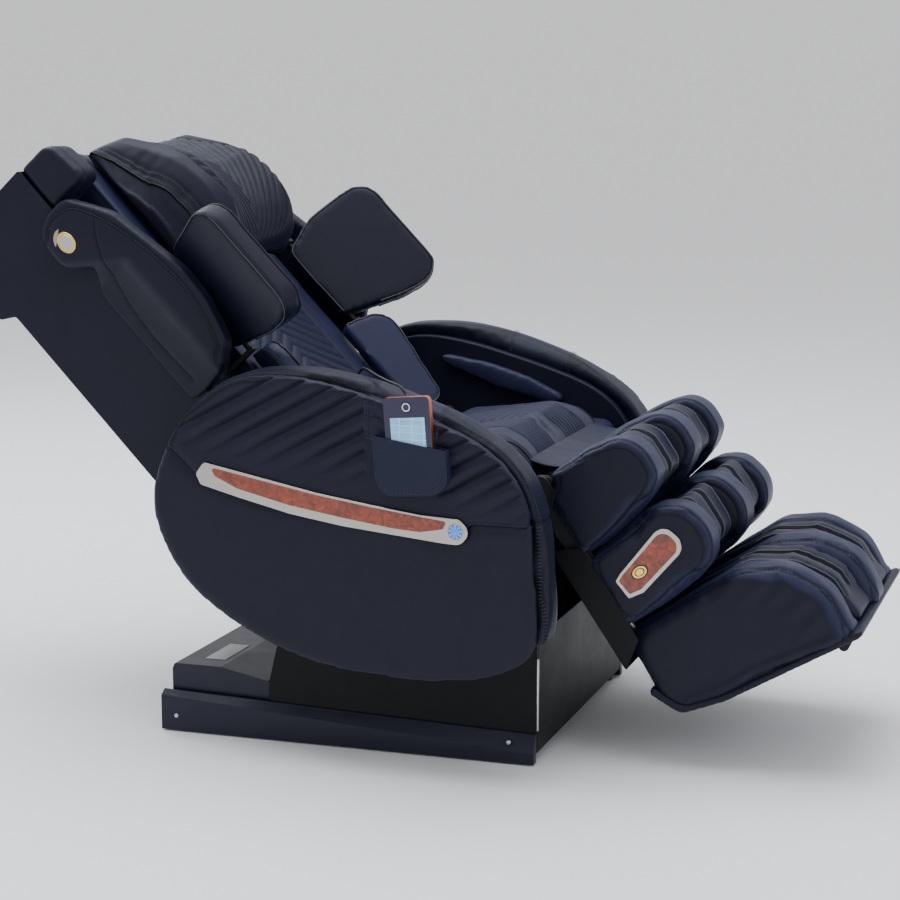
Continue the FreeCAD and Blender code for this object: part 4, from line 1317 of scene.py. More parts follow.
    def make_side_panel(self) -> None:
        """The plain lower side panel."""
        panel = pad("arm_side_panel_right", solids("arm_side_panels")[0], 8.0, 4)
        skin = Skin(panel, ROW)
        outside = skin.facing(Facing.ACROSS, sign=-1.0)
        slow = np.sin(skin.u * 0.021 + 0.8) * np.sin(skin.v * 0.017 + 2.0)
        skin.swell(0.9 * slow * outside + 3.5 * smoothstep(skin.nv, 0.3, 0.7))
        skin.write()
        fit_pair(panel, "base", NAVY, "arm_side_panels", fill=0.6)

    def make_band(self, tree: BVHTree) -> None:
        """The band that holds the pocket, laid over the roll, with stitched edges."""
        shape = bmesh.new()
        steps = 44
        columns = 14
        bmesh.ops.create_grid(shape, x_segments=columns, y_segments=steps, size=0.5)
        low, high = self.band
        for vert in shape.verts:
            across = vert.co.x + 0.5
            along = vert.co.y + 0.5
            y = low + (high - low) * across
            vert.co = self.over_the_roll(tree, y, along, 0.4)
        strap = from_bmesh("arm_band_right", shape)
        thick = strap.modifiers.new("Leather thickness", "SOLIDIFY")
        thick.thickness = 1.8 * MM
        thick.offset = 1.0
        bake(strap)
        finer(strap)
        fit_pair(strap, "base", PANEL)
        rows = []
        for y in (low + 5, low + 9, high - 9, high - 5):
            rows.append([self.over_the_roll(tree, y, step / 60, 2.7) for step in range(61)])
        fit_pair(stitches("arm_band_stitches_right", rows), "base", THREAD)

    def over_the_roll(self, tree: BVHTree, y: float, share: float, lift: float) -> Vector:
        """A place on a line that goes from the side panel up and over the roll.

        Args:
            tree: the skins of the roll and the quilt.
            y: how far back the line is.
            share: 0 on the side panel, 1 on the inner side of the roll.
            lift: off the skin, in millimetres.

        Returns:
            The place.
        """
        top = float(np.interp(y, (-334, -177, -107, -35, 37), (563, 642, 659, 676, 686)))
        if share < 0.3:
            z = top - 78 + share / 0.3 * 50
            start = Vector((OUTSIDE_X, y * MM, z * MM))
            hit, normal, _, _ = tree.ray_cast(start, ACROSS, 0.3)
        else:
            turn = math.radians(188 - (share - 0.3) / 0.7 * 205)
            core = Vector((-396.0, y, top - 40)) * MM
            way = Vector((math.cos(turn), 0.0, math.sin(turn)))
            hit, normal, _, _ = tree.ray_cast(core + way * 0.2, -way, 0.2)
        if hit is None:
            return Vector((-0.44, y * MM, (top - 30) * MM))
        return hit + normal * (lift * MM)

    def make_pads(self) -> None:
        """The forearm pads on the inner side of the pods."""
        lower, upper = sorted(solids("arm_pads")[:2], key=height_of)
        for name, solid in (("lower", lower), ("upper", upper)):
            piece = pad(f"forearm_pad_{name}_right", solid, 7.0, 3)
            skin = Skin(piece, ROW)
            skin.panel += 0.7
            skin.swell(0.6 * np.sin(skin.u * 0.05))
            skin.write()
            fit_pair(piece, "base", PANEL, "arm_pads", fill=0.7)

    def make_pocket(self) -> None:
        """The stitched pockets on the sides of the pods."""
        pocket = refined("arm_pockets", 1.0, only=solids("arm_pockets")[0],
                         name="arm_pocket_right")
        tree = surface_of(pocket)
        low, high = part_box("arm_pockets")
        middle = (low.y + high.y) / 2 / MM
        half = (high.y - low.y) / 2 / MM - 6.0
        border = curve_through(((half, 78), (half, 30), (half - 4, 8), (half - 22, -10),
                                (0, -14), (22 - half, -10), (4 - half, 8), (-half, 30),
                                (-half, 62)), 8)
        rows = []
        base_z = low.z / MM + 20.0
        for inset in (0.0, 4.0):
            share = 1.0 - inset / half
            row = []
            for across, up in border:
                start = Vector((OUTSIDE_X, (middle - across * share) * MM,
                                (base_z + up * share) * MM))
                hit, normal, _, _ = tree.ray_cast(start, ACROSS, 0.3)
                if hit is not None:
                    row.append(hit + normal * 0.0004)
            rows.append(row)
        fit_pair(pocket, "base", POCKET, "arm_pockets")
        fit_pair(stitches("arm_pocket_stitches_right", rows), "base", THREAD)

    def make_trim(self) -> None:
        """The bright trim bars with their burl inlays and the jewel button."""
        fit(refined("arm_trims", 1.4), "base", CHROME, "arm_trims")
        fit(refined("arm_inlays", 0.5), "base", BURL, "arm_inlays")
        jewel = refined("power_button", 1.2)
        low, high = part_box("power_button")
        lens = Jewel("Blue jewel", "jewel_blue", (0.03, 0.12, 0.5), 0.12,
                     centre=tuple((low + high) / 2))
        fit(jewel, "jewel", lens, "power_button")
        middle = (low + high) / 2
        centre = Vector((low.x + 1.6 * MM, middle.y, middle.z))
        fit(ring("power_button_ring", 12.8, 1.1, centre, 10, 48), "base", CHROME)


# ---------------------------------------------------------------- handset
@dataclass
class Handset:
    """The handset in the right hand pocket, its screen, button and cord."""

    cord_diameter: float = 5.0
    free_from: int = 7
    cord_route: tuple[Place, ...] = (
        (-338, -22, 640), (-326, -22, 640), (-317, -26, 649), (-318, -32, 663), (-328, -42, 675),
        (-346, -54, 683), (-372, -72, 685), (-400, -94, 682), (-425, -116, 679),
        (-446, -138, 676), (-461, -157, 674), (-470, -170, 670), (-473, -176, 660.5))

    def build(self) -> None:
        """Builds the cord, then the handset."""
        self.make_cord()
        self.make_body()

    def make_cord(self) -> None:
        """The thin cord from the arm over the roll to the handset."""
        curve = bpy.data.curves.new("handset_cord_line", "CURVE")
        curve.dimensions = "3D"
        spline = curve.splines.new("NURBS")
        spline.points.add(len(self.cord_route) - 1)
        for place, (x, y, z) in zip(spline.points, self.cord_route):
            place.co = (x * MM, y * MM, z * MM, 1.0)
        spline.order_u = 3
        spline.use_endpoint_u = True
        spline.resolution_u = 12
        guide = new_object("handset_cord_line", curve)
        bpy.context.view_layer.update()
        line = [point.co.copy() for point in bpy.data.meshes.new_from_object(guide).vertices]
        bpy.data.objects.remove(guide)
        cord = tube("handset_lead", line, self.cord_diameter / 2)
        dress(cord, CORD)
        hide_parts("handset_cord")
        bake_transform(cord)

    def make_body(self) -> None:
        """The housing with its copper edge, the lit screen and the round button."""
        body = refined("handset_body", 1.6, name="handset_housing")
        fit(body, "handset", HANDSET_FACE, "handset_body")
        body.data.materials.append(COPPER.material())
        for face in body.data.polygons:
            if abs(face.normal.x) < 0.75:
                face.material_index = 1
        screen = refined("handset_screen", 0.3, name="handset_display")
        fit(screen, "handset", Screen("Lit screen", "screen_glass", (0.2, 0.4, 0.62), 0.18),
            "handset_screen")
        low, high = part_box("handset_button")
        middle = (low + high) / 2
        centre = Vector((low.x, middle.y, middle.z))
        fit(ring("handset_button_ring", 6.2, 0.9, centre, 8, 40), "handset_key", WHITE)
        fit(refined("handset_button", 0.4), "handset_key", HANDSET_FACE, "handset_button")


# ---------------------------------------------------------------- back
@dataclass
class BackRest:
    """The reclining back: shell, pads, bolsters, wings, pillow and badges."""

    channel_pitch: float = 25.0
    channel_fall: float = 30.0
    panel_half: float = 158.0
    wing_lean: float = 34.1
    badge_middle: Point = (658.0, 25.0)
    badge_radii: Point = (29.0, 23.0)
    badge_x: float = -362.0
    wing_outline: tuple[Point, ...] = ((336, -12), (498, -12), (528, 22), (530, 60), (530, 150),
                                       (514, 196), (480, 205), (325, 205), (290, 190),
                                       (277, 150), (287, 100), (300, 60))
    flap_outline: tuple[Point, ...] = ((82, 36), (80, 90), (92, 108), (180, 122), (262, 132),
                                       (290, 112), (300, 96), (311, 40))

    def build(self) -> None:
        """Builds every piece of the back."""
        self.make_shell()
        self.make_pads()
        self.make_bolsters()
        self.make_wings()
        self.make_flaps()
        self.make_pillow()
        self.make_badges()

    def make_shell(self) -> None:
        """The rear shell, covered in leather."""
        fit(refined("back_shell", 7.0), "back", NAVY, "back_shell")

    def make_pads(self) -> None:
        """The back pad with its falling channels, and the pads beside it."""
        right, centre, _ = solids("back_pads")
        main = pad("back_pad", centre, 7.0, 7)
        skin = Skin(main, BACK)
        front = skin.facing(Facing.OUT, sign=1.0)
        inside = 1 - smoothstep(np.abs(skin.x), self.panel_half - 6, self.panel_half - 1)
        turn = math.radians(self.channel_fall)
        across = skin.u * math.cos(turn) + np.abs(skin.x) * math.sin(turn)
        skin.press(stripe_distance(across, self.channel_pitch), 4.4, 5.0,
                   front * inside * smoothstep(550.0 - skin.u, 0.0, 30.0))
        skin.press(np.abs(np.abs(skin.x) - self.panel_half), 3.4, 5.0, front)
        skin.swell(4.0 * front * smoothstep(np.abs(skin.x), self.panel_half, self.panel_half + 40))
        # painted light: the face that looks out is made lighter
        skin.panel += 0.6 * front
        skin.write()
        tree = surface_of(main)
        fit(main, "back", PANEL, "back_pads", fill=0.6)
        rows = [contour(tree, BACK, -self.panel_half - 4, (400, 40), (2, 178), 120, SEAM_LIFT)]
        fit_pair(stitches("back_pad_stitches_right", rows), "back", THREAD)
        side = pad("back_side_pad_right", right, 6.0, 7)
        fit_pair(side, "back", NAVY, "back_pads", fill=0.6)

    def make_bolsters(self) -> None:
        """The big side bolsters and the pads beside the head."""
        outer, head = solids("side_bolsters")[:2]
        piece = pad("side_bolster_right", outer, 5.0, 6)
        skin = Skin(piece, BACK)
        proud = np.maximum(-skin.x - 331.0, 0.0)
        flush = 1.0 - smoothstep(skin.v + 1.3 * np.maximum(skin.u - 560.0, 0.0), 36.0, 100.0)
        skin.move(across=proud * flush)
        lap = smoothstep(78.0 - skin.v, 0.0, 46.0) * smoothstep(600.0 - skin.u, 0.0, 50.0)
        skin.move(out=-30.0 * lap)
        outside = skin.facing(Facing.ACROSS, sign=-1.0)
        rim = curve_through(((312, 108), (332, 132), (410, 154), (480, 157), (560, 146),
                             (640, 124), (700, 92), (720, 60), (722, 20), (704, -8)), 6)
        edge = path_distance(skin.places, rim)
        for inset in (15.0, 20.0):
            skin.press(np.abs(edge - inset), 2.2, 1.4, outside)
        fold = curve_through(((676, 116), (661, 99), (606, 63), (518, 32), (430, 24), (330, 28)), 6)
        skin.press(path_distance(skin.places, fold), 3.0, 1.8, outside)
        crown = 1.0 - np.exp(-(edge / 26.0) ** 2)
        skin.swell(4.5 * crown * outside)
        skin.write()
        tree = surface_of(piece)
        fit_pair(piece, "back", NAVY, "side_bolsters", fill=0.7)
        rows = [laid_on(tree, [BACK.at(u * 0.93 + 36, v * 0.88, -362) for u, v in rim[4:-4]], 0.3)]
        fit_pair(stitches("side_bolster_stitches_right", rows), "back", THREAD)
        self.make_head_pad(head)

    def make_head_pad(self, solid: bmesh.types.BMesh) -> None:
        """One of the pads beside the head."""
        piece = pad("head_side_pad_right", solid, 4.5, 12)
        skin = Skin(piece, BACK)
        skin.press(np.abs(skin.x + 300), 2.6, 2.0, skin.facing(Facing.OUT, sign=1.0))
        skin.write()
        tree = surface_of(piece)
        fit_pair(piece, "back", NAVY, "side_bolsters", fill=0.7)
        rows = [contour(tree, BACK, -304, (775, 60), (5, 175), 50, SEAM_LIFT)]
        fit_pair(stitches("head_side_stitches_right", rows), "back", THREAD)

    def flap_pieces(self, flap: FlapFrame, outline: Sequence[Point], name: str,
                    tree: BVHTree, faces: tuple[float, float], body: str,
                    other: str = "") -> None:
        """Piping along both edges of a flap, each with a thin pale line beside it that is a painted
        highlight on the piping.

        Args:
            flap: the flap's frame.
            outline: its edge, as (u, v).
            name: the start of the pieces' names.
            tree: the left flap's skin.
            faces: the two w at which the edges are.
            body: the right flap's body.
            other: the left flap's body, if it is another.
        """
        for label, w, inward in (("inner", faces[0], 1.0), ("outer", faces[1], -1.0)):
            line = curve_through(outline, 10)
            edge = [flap.at(u, v, w) for u, v in line]
            seat = laid_on(tree, edge, 0.4)
            # the pale line just inside the piping is a painted highlight on it
            lit = [point - flap.normal() * (inward * 1.9 * MM) for point in seat]
            for part, run, radius, finish in (("piping", seat, 2.3, PIPING),
                                              ("line", lit, 0.8, PALE_PIPING_AND_HIGHLIGHT)):
                left = tube(f"{name}_{label}_{part}_left", run, radius)
                right = mirrored(left, f"{name}_{label}_{part}_right")
                bpy.data.objects.remove(left)
                fit_pair(right, body, finish, left_body=other)

    def make_wings(self) -> None:
        """The shoulder wings, boxed and piped."""
        solid = solids("shoulder_wing_left")[0]
        piece = pad("shoulder_wing_left_pad", solid, 6.5, 7)
        tree = surface_of(piece)
        place = joint("shoulder_wing_left_swing")["pos_m"]
        _, root_v, root_x = BACK.local(np.array([place]))[0]
        wing = FlapFrame(float(root_x), float(root_v), self.wing_lean)
        twin = mirrored(piece, "shoulder_wing_right_pad")
        fit(piece, "wing_left", NAVY, "shoulder_wing_left", fill=0.7)
        fit(twin, "wing_right", NAVY, "shoulder_wing_right", fill=0.7)
        self.flap_pieces(wing, self.wing_outline, "shoulder_wing", tree, (-22.0, 22.0),
                         "wing_right", "wing_left")

    def make_flaps(self) -> None:
        """The lumbar wings."""
        solid = solids("lumbar_wings")[1]
        piece = pad("lumbar_wing_left", solid, 6.0, 3)
        skin = Skin(piece, BACK)
        skin.panel += 1.0
        skin.write()
        tree = surface_of(piece)
        twin = mirrored(piece, "lumbar_wing_right")
        fit(piece, "back", PANEL, "lumbar_wings", fill=0.7)
        fit(twin, "back", PANEL, "lumbar_wings", fill=0.7)
        self.flap_pieces(FlapFrame(172.0, 90.0, 49.3), self.flap_outline, "lumbar_wing", tree,
                         (0.0, 30.0), "back")

    def make_pillow(self) -> None:
        """The head pillow, quilted in nested chevrons between smooth sides."""
        piece = pad("head_cushion", shrunk(solids("head_pillow")[0], 4.0), 5.2, 10,
                    stuffing=4.0, limit=12.0)
        skin = Skin(piece, BACK)
        fall = np.interp(np.abs(skin.x), (0.0, 60.0, 130.0, 160.0, 205.0),
                         (-34.0, -26.0, -8.0, -24.0, -92.0))
        skin.move(out=fall * np.clip((skin.v - 85.0) / 145.0, 0.0, 1.0))
        front = smoothstep(skin.nu * 0.25 + skin.nv, 0.15, 0.5)
        spread = 138.0 - 52.0 * ((skin.u - 640) / 150) ** 2
        inside = 1.0 - smoothstep(np.abs(skin.x) - spread, -3.0, 1.0)
        turn = math.radians(57.0)
        across = skin.u * math.cos(turn) - np.abs(skin.x) * math.sin(turn)
        mask = front * inside
        skin.press(stripe_distance(across, 16.0), 3.0, 4.2, mask)
        skin.press(np.abs(np.abs(skin.x) - spread), 2.6, 2.6, front)
        for inset in (177.0, 183.0):
            skin.press(np.abs(np.abs(skin.x) - inset), 2.2, 1.2, smoothstep(skin.nv, -0.3, 0.2))
        skin.write()
        tree = surface_of(piece)
        fit(piece, "pillow", QUILTED, "head_pillow", fill=0.85)
        edge = contour(tree, BACK, -190.0, (660, 150), (-55, 235), 90, 1.2)
        fit_pair(tube("head_cushion_piping_right", edge, 2.4), "pillow", PIPING)
        rows = [contour(tree, BACK, -180.0, (660, 150), (-30, 215), 90, SEAM_LIFT)]
        fit_pair(stitches("head_cushion_stitches_right", rows), "pillow", THREAD)

    def make_badges(self) -> None:
        """The oval badges: bright rim, gold ring and a blank middle."""
        fit(refined("oval_badges", 1.2), "back", CHROME, "oval_badges")
        along, out = BACK.axes()
        turned = Matrix((along, out, -ACROSS)).transposed().to_4x4()
        length, width = self.badge_radii
        for name, share, lift, finish in (("ring", 0.72, 0.5, GOLD), ("middle", 0.54, 1.0, STEEL)):
            pose = Matrix.Translation(BACK.at(*self.badge_middle, self.badge_x - lift)) @ turned
            disc = oval(f"oval_badge_{name}_right", length * share, width / length, 1.2, 1.2, 56,
                        pose)
            fit_pair(disc, "back", finish)


# ---------------------------------------------------------------- seat
@dataclass
class Seat:
    """The seat cushion with its wavy sewn channels."""

    channel_pitch: float = 15.0
    oval_middle: float = 262.0
    border: float = 214.0

    def build(self) -> None:
        """Builds the cushion with its piping and stitches."""
        solid = shrunk(solids("seat_cushion")[0], 4.0)
        piece = pad("seat_pad", solid, 6.5, 8, stuffing=4.0, limit=14.0)
        skin = Skin(piece, SEAT)
        top = smoothstep(skin.nv + 0.6 * np.maximum(skin.nu, 0.0), 0.25, 0.6)
        back_reach = np.maximum(self.oval_middle - skin.u, 0.0)
        angle = np.arctan2(back_reach, np.abs(skin.x) + 1.0)
        radius = np.hypot(skin.x, back_reach * 0.8) + 5.0 * np.sin(angle * 5.0)
        mask = smoothstep(radius, 34.0, 40.0) * (1.0 - smoothstep(radius, 148.0, 154.0))
        skin.press(stripe_distance(radius, self.channel_pitch), 3.4, 3.4, top * mask)
        skin.press(np.abs(np.abs(skin.x) - 158.0), 3.2, 3.0, top)
        skin.press(np.abs(np.abs(skin.x) - self.border), 2.6, 2.2, top)
        # painted light: the top is made lighter than the sides
        skin.panel += 0.5 * top
        skin.write()
        tree = surface_of(piece)
        fit(piece, "seat", PANEL, "seat_cushion", fill=0.7)
        for name, x, finish in (("outer", 230.0, PALE_PIPING_AND_HIGHLIGHT), ("inner", 222.0, PIPING)):
            line = contour(tree, SEAT, -x, (150, 70), (155, -60), 90, 0.8)
            fit_pair(tube(f"seat_{name}_piping_right", line, 1.4), "seat", finish)
        rows = [contour(tree, SEAT, -x, (150, 70), (150, -50), 90, SEAM_LIFT)
                for x in (208.0, 152.0)]
        fit_pair(stitches("seat_stitches_right", rows), "seat", THREAD)


# ---------------------------------------------------------------- leg and foot rest
@dataclass
class LegRest:
    """The knee and calf modules: ridges, folded troughs and the burl badges."""

    knee_middle: Point = (50.0, 110.0)
    calf_middle: Point = (205.0, 110.0)
    side_seam: float = 16.0
    flank_limit: float = -294.3
    emblem_middle: Point = (211.0, 74.0)
    emblem_radius: float = 16.0

    def build(self) -> None:
        """Builds the ridges, the troughs and the badges."""
        parts = solids("leg_ridges")
        names = ("calf_ridge_right", "knee_ridge_right", "calf_ridge_centre", "knee_ridge_centre")
        for name, solid in zip(names, parts[:4]):
            middle = self.calf_middle if name.startswith("calf") else self.knee_middle
            side = name.endswith("right")
            self.make_ridge(name, solid, middle, side)
        floors = solids("leg_troughs")
        for name, solid, middle in (("calf", floors[0], self.calf_middle),
                                    ("knee", floors[1], self.knee_middle)):
            self.make_trough(name, solid, middle)
        fit(refined("leg_shell", 1.5), "leg", BLACK_PLASTIC, "leg_shell")
        fit(refined("calf_badges", 1.1), "leg", CHROME, "calf_badges")
        fit(refined("calf_inlays", 0.5), "leg", BURL, "calf_inlays")
        self.make_emblem()

    def make_ridge(self, name: str, solid: bmesh.types.BMesh, middle: Point, side: bool) -> None:
        """One padded ridge with a lighter sewn band along its top.

        Args:
            name: the piece's name.
            solid: its CAD solid.
            middle: a place inside it in the side view.
            side: True for the outer right hand ridge, which gets a mirror image.
        """
        low, high = (-295.0, -215.0) if side else (-45.0, 45.0)
        piece = pad(name, shrunk(solid, 2.0), 5.0, 5, stuffing=5.0, limit=7.0)
        skin = Skin(piece, LEG)
        skirt = smoothstep(64.0 - skin.v, 0.0, 30.0) * smoothstep(skin.u, 10.0, 40.0)
        skin.move(out=-26.0 * skirt)
        if side:
            skin.move(across=np.maximum(self.flank_limit - skin.x, 0.0))
        edge = self.edge_reach(skin, middle)
        outward = smoothstep(skin.nv + np.abs(skin.nu) * 0.6, 0.2, 0.5)
        for x in (low + 9.0, high - 9.0):
            skin.press(np.abs(skin.x - x), 2.6, 2.0, outward)
        inside = 9.0 + np.minimum(skin.x - low, high - skin.x)
        # the sewn top band is made lighter only where it faces out: painted light on the ridge's
        # top
        skin.panel += 0.8 * outward * smoothstep(inside, 0.0, 20.0)
        flank = skin.facing(Facing.ACROSS)
        skin.press(np.abs(edge - self.side_seam), 2.2, 1.6, flank)
        skin.write()
        tree = surface_of(piece)
        sweep = (200.0, -20.0)
        rows = [contour(tree, LEG, x, middle, sweep, 70, SEAM_LIFT)
                for x in (low + 12.5, high - 12.5)]
        marks = stitches(f"{name}_stitches", rows)
        if side:
            fit_pair(piece, "leg", NAVY, "leg_ridges", fill=0.8)
            marks.name = f"{name.replace('_right', '')}_stitches_right"
            fit_pair(marks, "leg", THREAD)
        else:
            fit(piece, "leg", NAVY, "leg_ridges", fill=0.8)
            fit(marks, "leg", THREAD)

    def edge_reach(self, skin: Skin, middle: Point) -> np.ndarray:
        """How far each point is inside the ridge's own outline, seen from the side."""
        turn = np.arctan2(skin.v - middle[1], skin.u - middle[0])
        reach = np.hypot(skin.u - middle[0], skin.v - middle[1])
        slots = 120
        index = ((turn + np.pi) / math.tau * slots).astype(int) % slots
        outer = np.zeros(slots)
        np.maximum.at(outer, index, reach)
        near = [[(i + k) % slots for k in (-1, 0, 1)] for i in range(slots)]
        smooth = np.array([outer[picks].mean() for picks in near])
        return smooth[index] - reach

    def make_trough(self, name: str, solid: bmesh.types.BMesh, middle: Point) -> None:
        """The floor between two ridges, with two soft folds edged in piping.

        Args:
            name: calf or knee.
            solid: the right hand trough's CAD solid.
            middle: a place inside the module in the side view.
        """
        fold_source = solid.copy()
        piece = pad(f"{name}_trough_right", solid, 6.0, 6, fine=False)
        fit_pair(piece, "leg", NAVY, "leg_troughs", fill=0.5)
        _, out = LEG.axes()
        for number, centre in enumerate((-172.0, -88.0), 1):
            part = fold_source.copy()
            scaled_about(part, Vector((-130.0 * MM, 0.0, 0.0)), (0.36, 1.0, 1.0))
            shift = Vector(((centre + 130.0) * MM, 0.0, 0.0)) + out * (30.0 * MM)
            bmesh.ops.translate(part, vec=shift, verts=part.verts)
            fold = pad(f"{name}_fold_{number}_right", part, 5.0, 6)
            tree = surface_of(fold)
            fit_pair(fold, "leg", NAVY, fill=0.7)
            for edge, x in (("near", centre - 25.0), ("far", centre + 25.0)):
                line = contour(tree, LEG, x, middle, (190, -15), 60, 0.6)
                if len(line) > 3:
                    fit_pair(tube(f"{name}_fold_{number}_{edge}_piping_right", line, 1.3), "leg",
                             PALE_PIPING_AND_HIGHLIGHT)
        fold_source.free()

    def make_emblem(self) -> None:
        """The blank oval emblem on each badge: black rim, gold face."""
        along, out = LEG.axes()
        turned = Matrix((out, along, -ACROSS)).transposed().to_4x4()
        low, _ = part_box("calf_inlays")
        layers = (("rim", 1.0, 0.2, MATTE_BLACK), ("face", 0.86, 0.5, GOLD),
                  ("line", 0.62, 0.8, MATTE_BLACK), ("middle", 0.5, 1.0, GOLD))
        for name, share, lift, finish in layers:
            pose = Matrix.Translation(LEG.at(*self.emblem_middle, low.x / MM - lift)) @ turned
            disc = oval(f"calf_emblem_{name}_right", self.emblem_radius * share, 0.7, 0.9, 0.5, 48,
                        pose)
            fit_pair(disc, "leg", finish)


@dataclass
class FootRest(LegRest):
    """The sliding foot module."""

    foot_middle: Point = (390.0, 150.0)
    fold_drop: float = 26.0

    def build(self) -> None:
        """Builds the ridges, the sole pads, the folds and the shell."""
        sides = solids("foot_ridges")
        self.make_foot_ridge("foot_ridge_right", sides[0], (-260.0, -180.0))
        self.make_foot_ridge("foot_ridge_centre", sides[1], (-45.0, 45.0))
        soles = solids("foot_troughs")[:2]
        heel, toe = sorted(soles, key=height_of)
        for name, solid in (("heel", heel), ("toe", toe)):
            piece = pad(f"foot_{name}_pad_right", solid, 6.0, 6, fine=False)
            fit_pair(piece, "foot", NAVY, "foot_troughs", fill=0.6)
        self.make_folds()
        self.make_sole()

    def make_foot_ridge(self, name: str, solid: bmesh.types.BMesh, span: Point) -> None:
        """One foot ridge with its sewn top band.

        Args:
            name: the piece's name.
            solid: its CAD solid.
            span: its two sides across the chair.
        """
        low, high = span
        piece = pad(name, shrunk(solid, 2.0), 6.8, 4, stuffing=5.0, limit=7.0)
        skin = Skin(piece, LEG)
        skin.swell(7.0 * smoothstep(np.maximum(skin.nu, -skin.nv), 0.15, 0.5)
                   * smoothstep(345.0 - skin.v, 0.0, 40.0) * smoothstep(skin.u, 385.0, 420.0))
        outward = smoothstep(skin.nv + np.abs(skin.nu) * 0.5, 0.15, 0.5)
        for x in (low + 10.0, high - 10.0):
            skin.press(np.abs(skin.x - x), 2.8, 2.2, outward)
        # painted light: faces that look outward are made lighter
        skin.panel += 0.8 * outward
        flank = skin.facing(Facing.ACROSS)
        edge = self.edge_reach(skin, self.foot_middle)
        upper = smoothstep(skin.v, 40.0, 90.0)
        skin.press(np.abs(edge - 9.0), 2.2, 1.6, flank * upper)
        pulls = np.sin(skin.u * 0.16 + skin.v * 0.05) * np.exp(-((edge - 55.0) / 26.0) ** 2)
        skin.swell(1.6 * pulls * flank * smoothstep(skin.v, 150.0, 240.0))
        skin.write()
        tree = surface_of(piece)
        rows = [contour(tree, LEG, x, self.foot_middle, (176, 25), 90, SEAM_LIFT)
                for x in (low + 14.0, high - 14.0)]
        marks = stitches(f"{name}_stitches", rows)
        if name.endswith("right"):
            fit_pair(piece, "foot", NAVY, "foot_ridges", fill=0.8)
            marks.name = "foot_ridge_stitches_right"
            fit_pair(marks, "foot", THREAD)
        else:
            fit(piece, "foot", NAVY, "foot_ridges", fill=0.8)
            fit(marks, "foot", THREAD)

    def make_sole(self) -> None:
        """The leather covered sole plate and the bumper under the toes."""
        bumper, plate = sorted(solids("foot_shell"),
                               key=lambda part: max(v.co.x for v in part.verts))
        scaled_about(plate, Vector((0.0, 0.0, 0.0)), (1.026, 1.0, 1.0))
        along, out = LEG.axes()
        bmesh.ops.translate(plate, vec=(out - along) * (9.0 * MM), verts=plate.verts)
        sole = pad("foot_sole", plate, 6.0, 1, fine=False)
        skin = Skin(sole, LEG)
        skin.swell(4.0)
        skin.write()
        fit(sole, "foot", NAVY, "foot_shell", fill=0.5)
        fit(from_bmesh("toe_bumper", bumper), "foot", RUBBER, "foot_shell")

    def make_folds(self) -> None:
        """The folds between the foot ridges, with their piping."""
        _, out = LEG.axes()
        for number, centre in enumerate((-150.0, -76.0), 1):
            part = solids("foot_ridges")[1]
            scaled_about(part, Vector((0.0, 0.0, 0.0)), (0.5, 1.0, 1.0))
            shift = Vector((centre * MM, 0.0, 0.0)) - out * (self.fold_drop * MM)
            bmesh.ops.translate(part, vec=shift, verts=part.verts)
            fold = pad(f"foot_fold_{number}_right", part, 8.0, 5)
            tree = surface_of(fold)
            fit_pair(fold, "foot", NAVY, fill=0.7)
            for edge, x in (("near", centre - 18.0), ("far", centre + 18.0)):
                line = contour(tree, LEG, x, self.foot_middle, (165, 60), 60, 0.6)
                if len(line) > 3:
                    fit_pair(tube(f"foot_fold_{number}_{edge}_piping_right", line, 1.3), "foot",
                             PALE_PIPING_AND_HIGHLIGHT)


@dataclass
class Gaiters:
    """The leather folds that close the gaps behind and in front of the seat; the one behind is a
    dark sheet that stands in for the shade in its gap.
    """

    half_width: float = 224.0
    thickness: float = 3.0
    rear_line: tuple[Point, ...] = ((-62, 492), (-46, 470), (-22, 448), (4, 446), (26, 458))
    front_line: tuple[Point, ...] = ((-312, 520), (-340, 512), (-372, 510), (-405, 520),
                                     (-424, 536))

    def build(self) -> None:
        """Builds both folds."""
        # behind the seat: a dark sheet that stands in for the shade in the gap
        self.make_fold("seat_back_gaiter", self.rear_line, "back", NAVY)
        self.make_fold("seat_leg_gaiter", self.front_line, "leg", PANEL)

    def make_fold(self, name: str, points: Sequence[Point], body: str, finish: Finish) -> None:
        """One fold of leather from the seat to a part that swings on it.

        Args:
            name: the fold's name.
            points: its line in the side view, from the seat to the other part.
            body: the other part's body.
            finish: its leather.
        """
        line = np.array(curve_through(points, 8))
        shares = np.linspace(0.0, 1.0, len(line))
        shape = bmesh.new()
        bmesh.ops.create_grid(shape, x_segments=24, y_segments=30, size=0.5)
        for vert in shape.verts:
            along = vert.co.y + 0.5
            y = float(np.interp(along, shares, line[:, 0]))
            z = float(np.interp(along, shares, line[:, 1]))
            vert.co = Vector((2.0 * self.half_width * vert.co.x, y, z)) * MM
        piece = from_bmesh(name, shape)
        thick = piece.modifiers.new("Leather thickness", "SOLIDIFY")
        thick.thickness = self.thickness * MM
        thick.offset = 0.0
        bake(piece)
        dress(piece, finish)
        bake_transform(piece)
        log.info("%s bends between seat and %s", name, body)


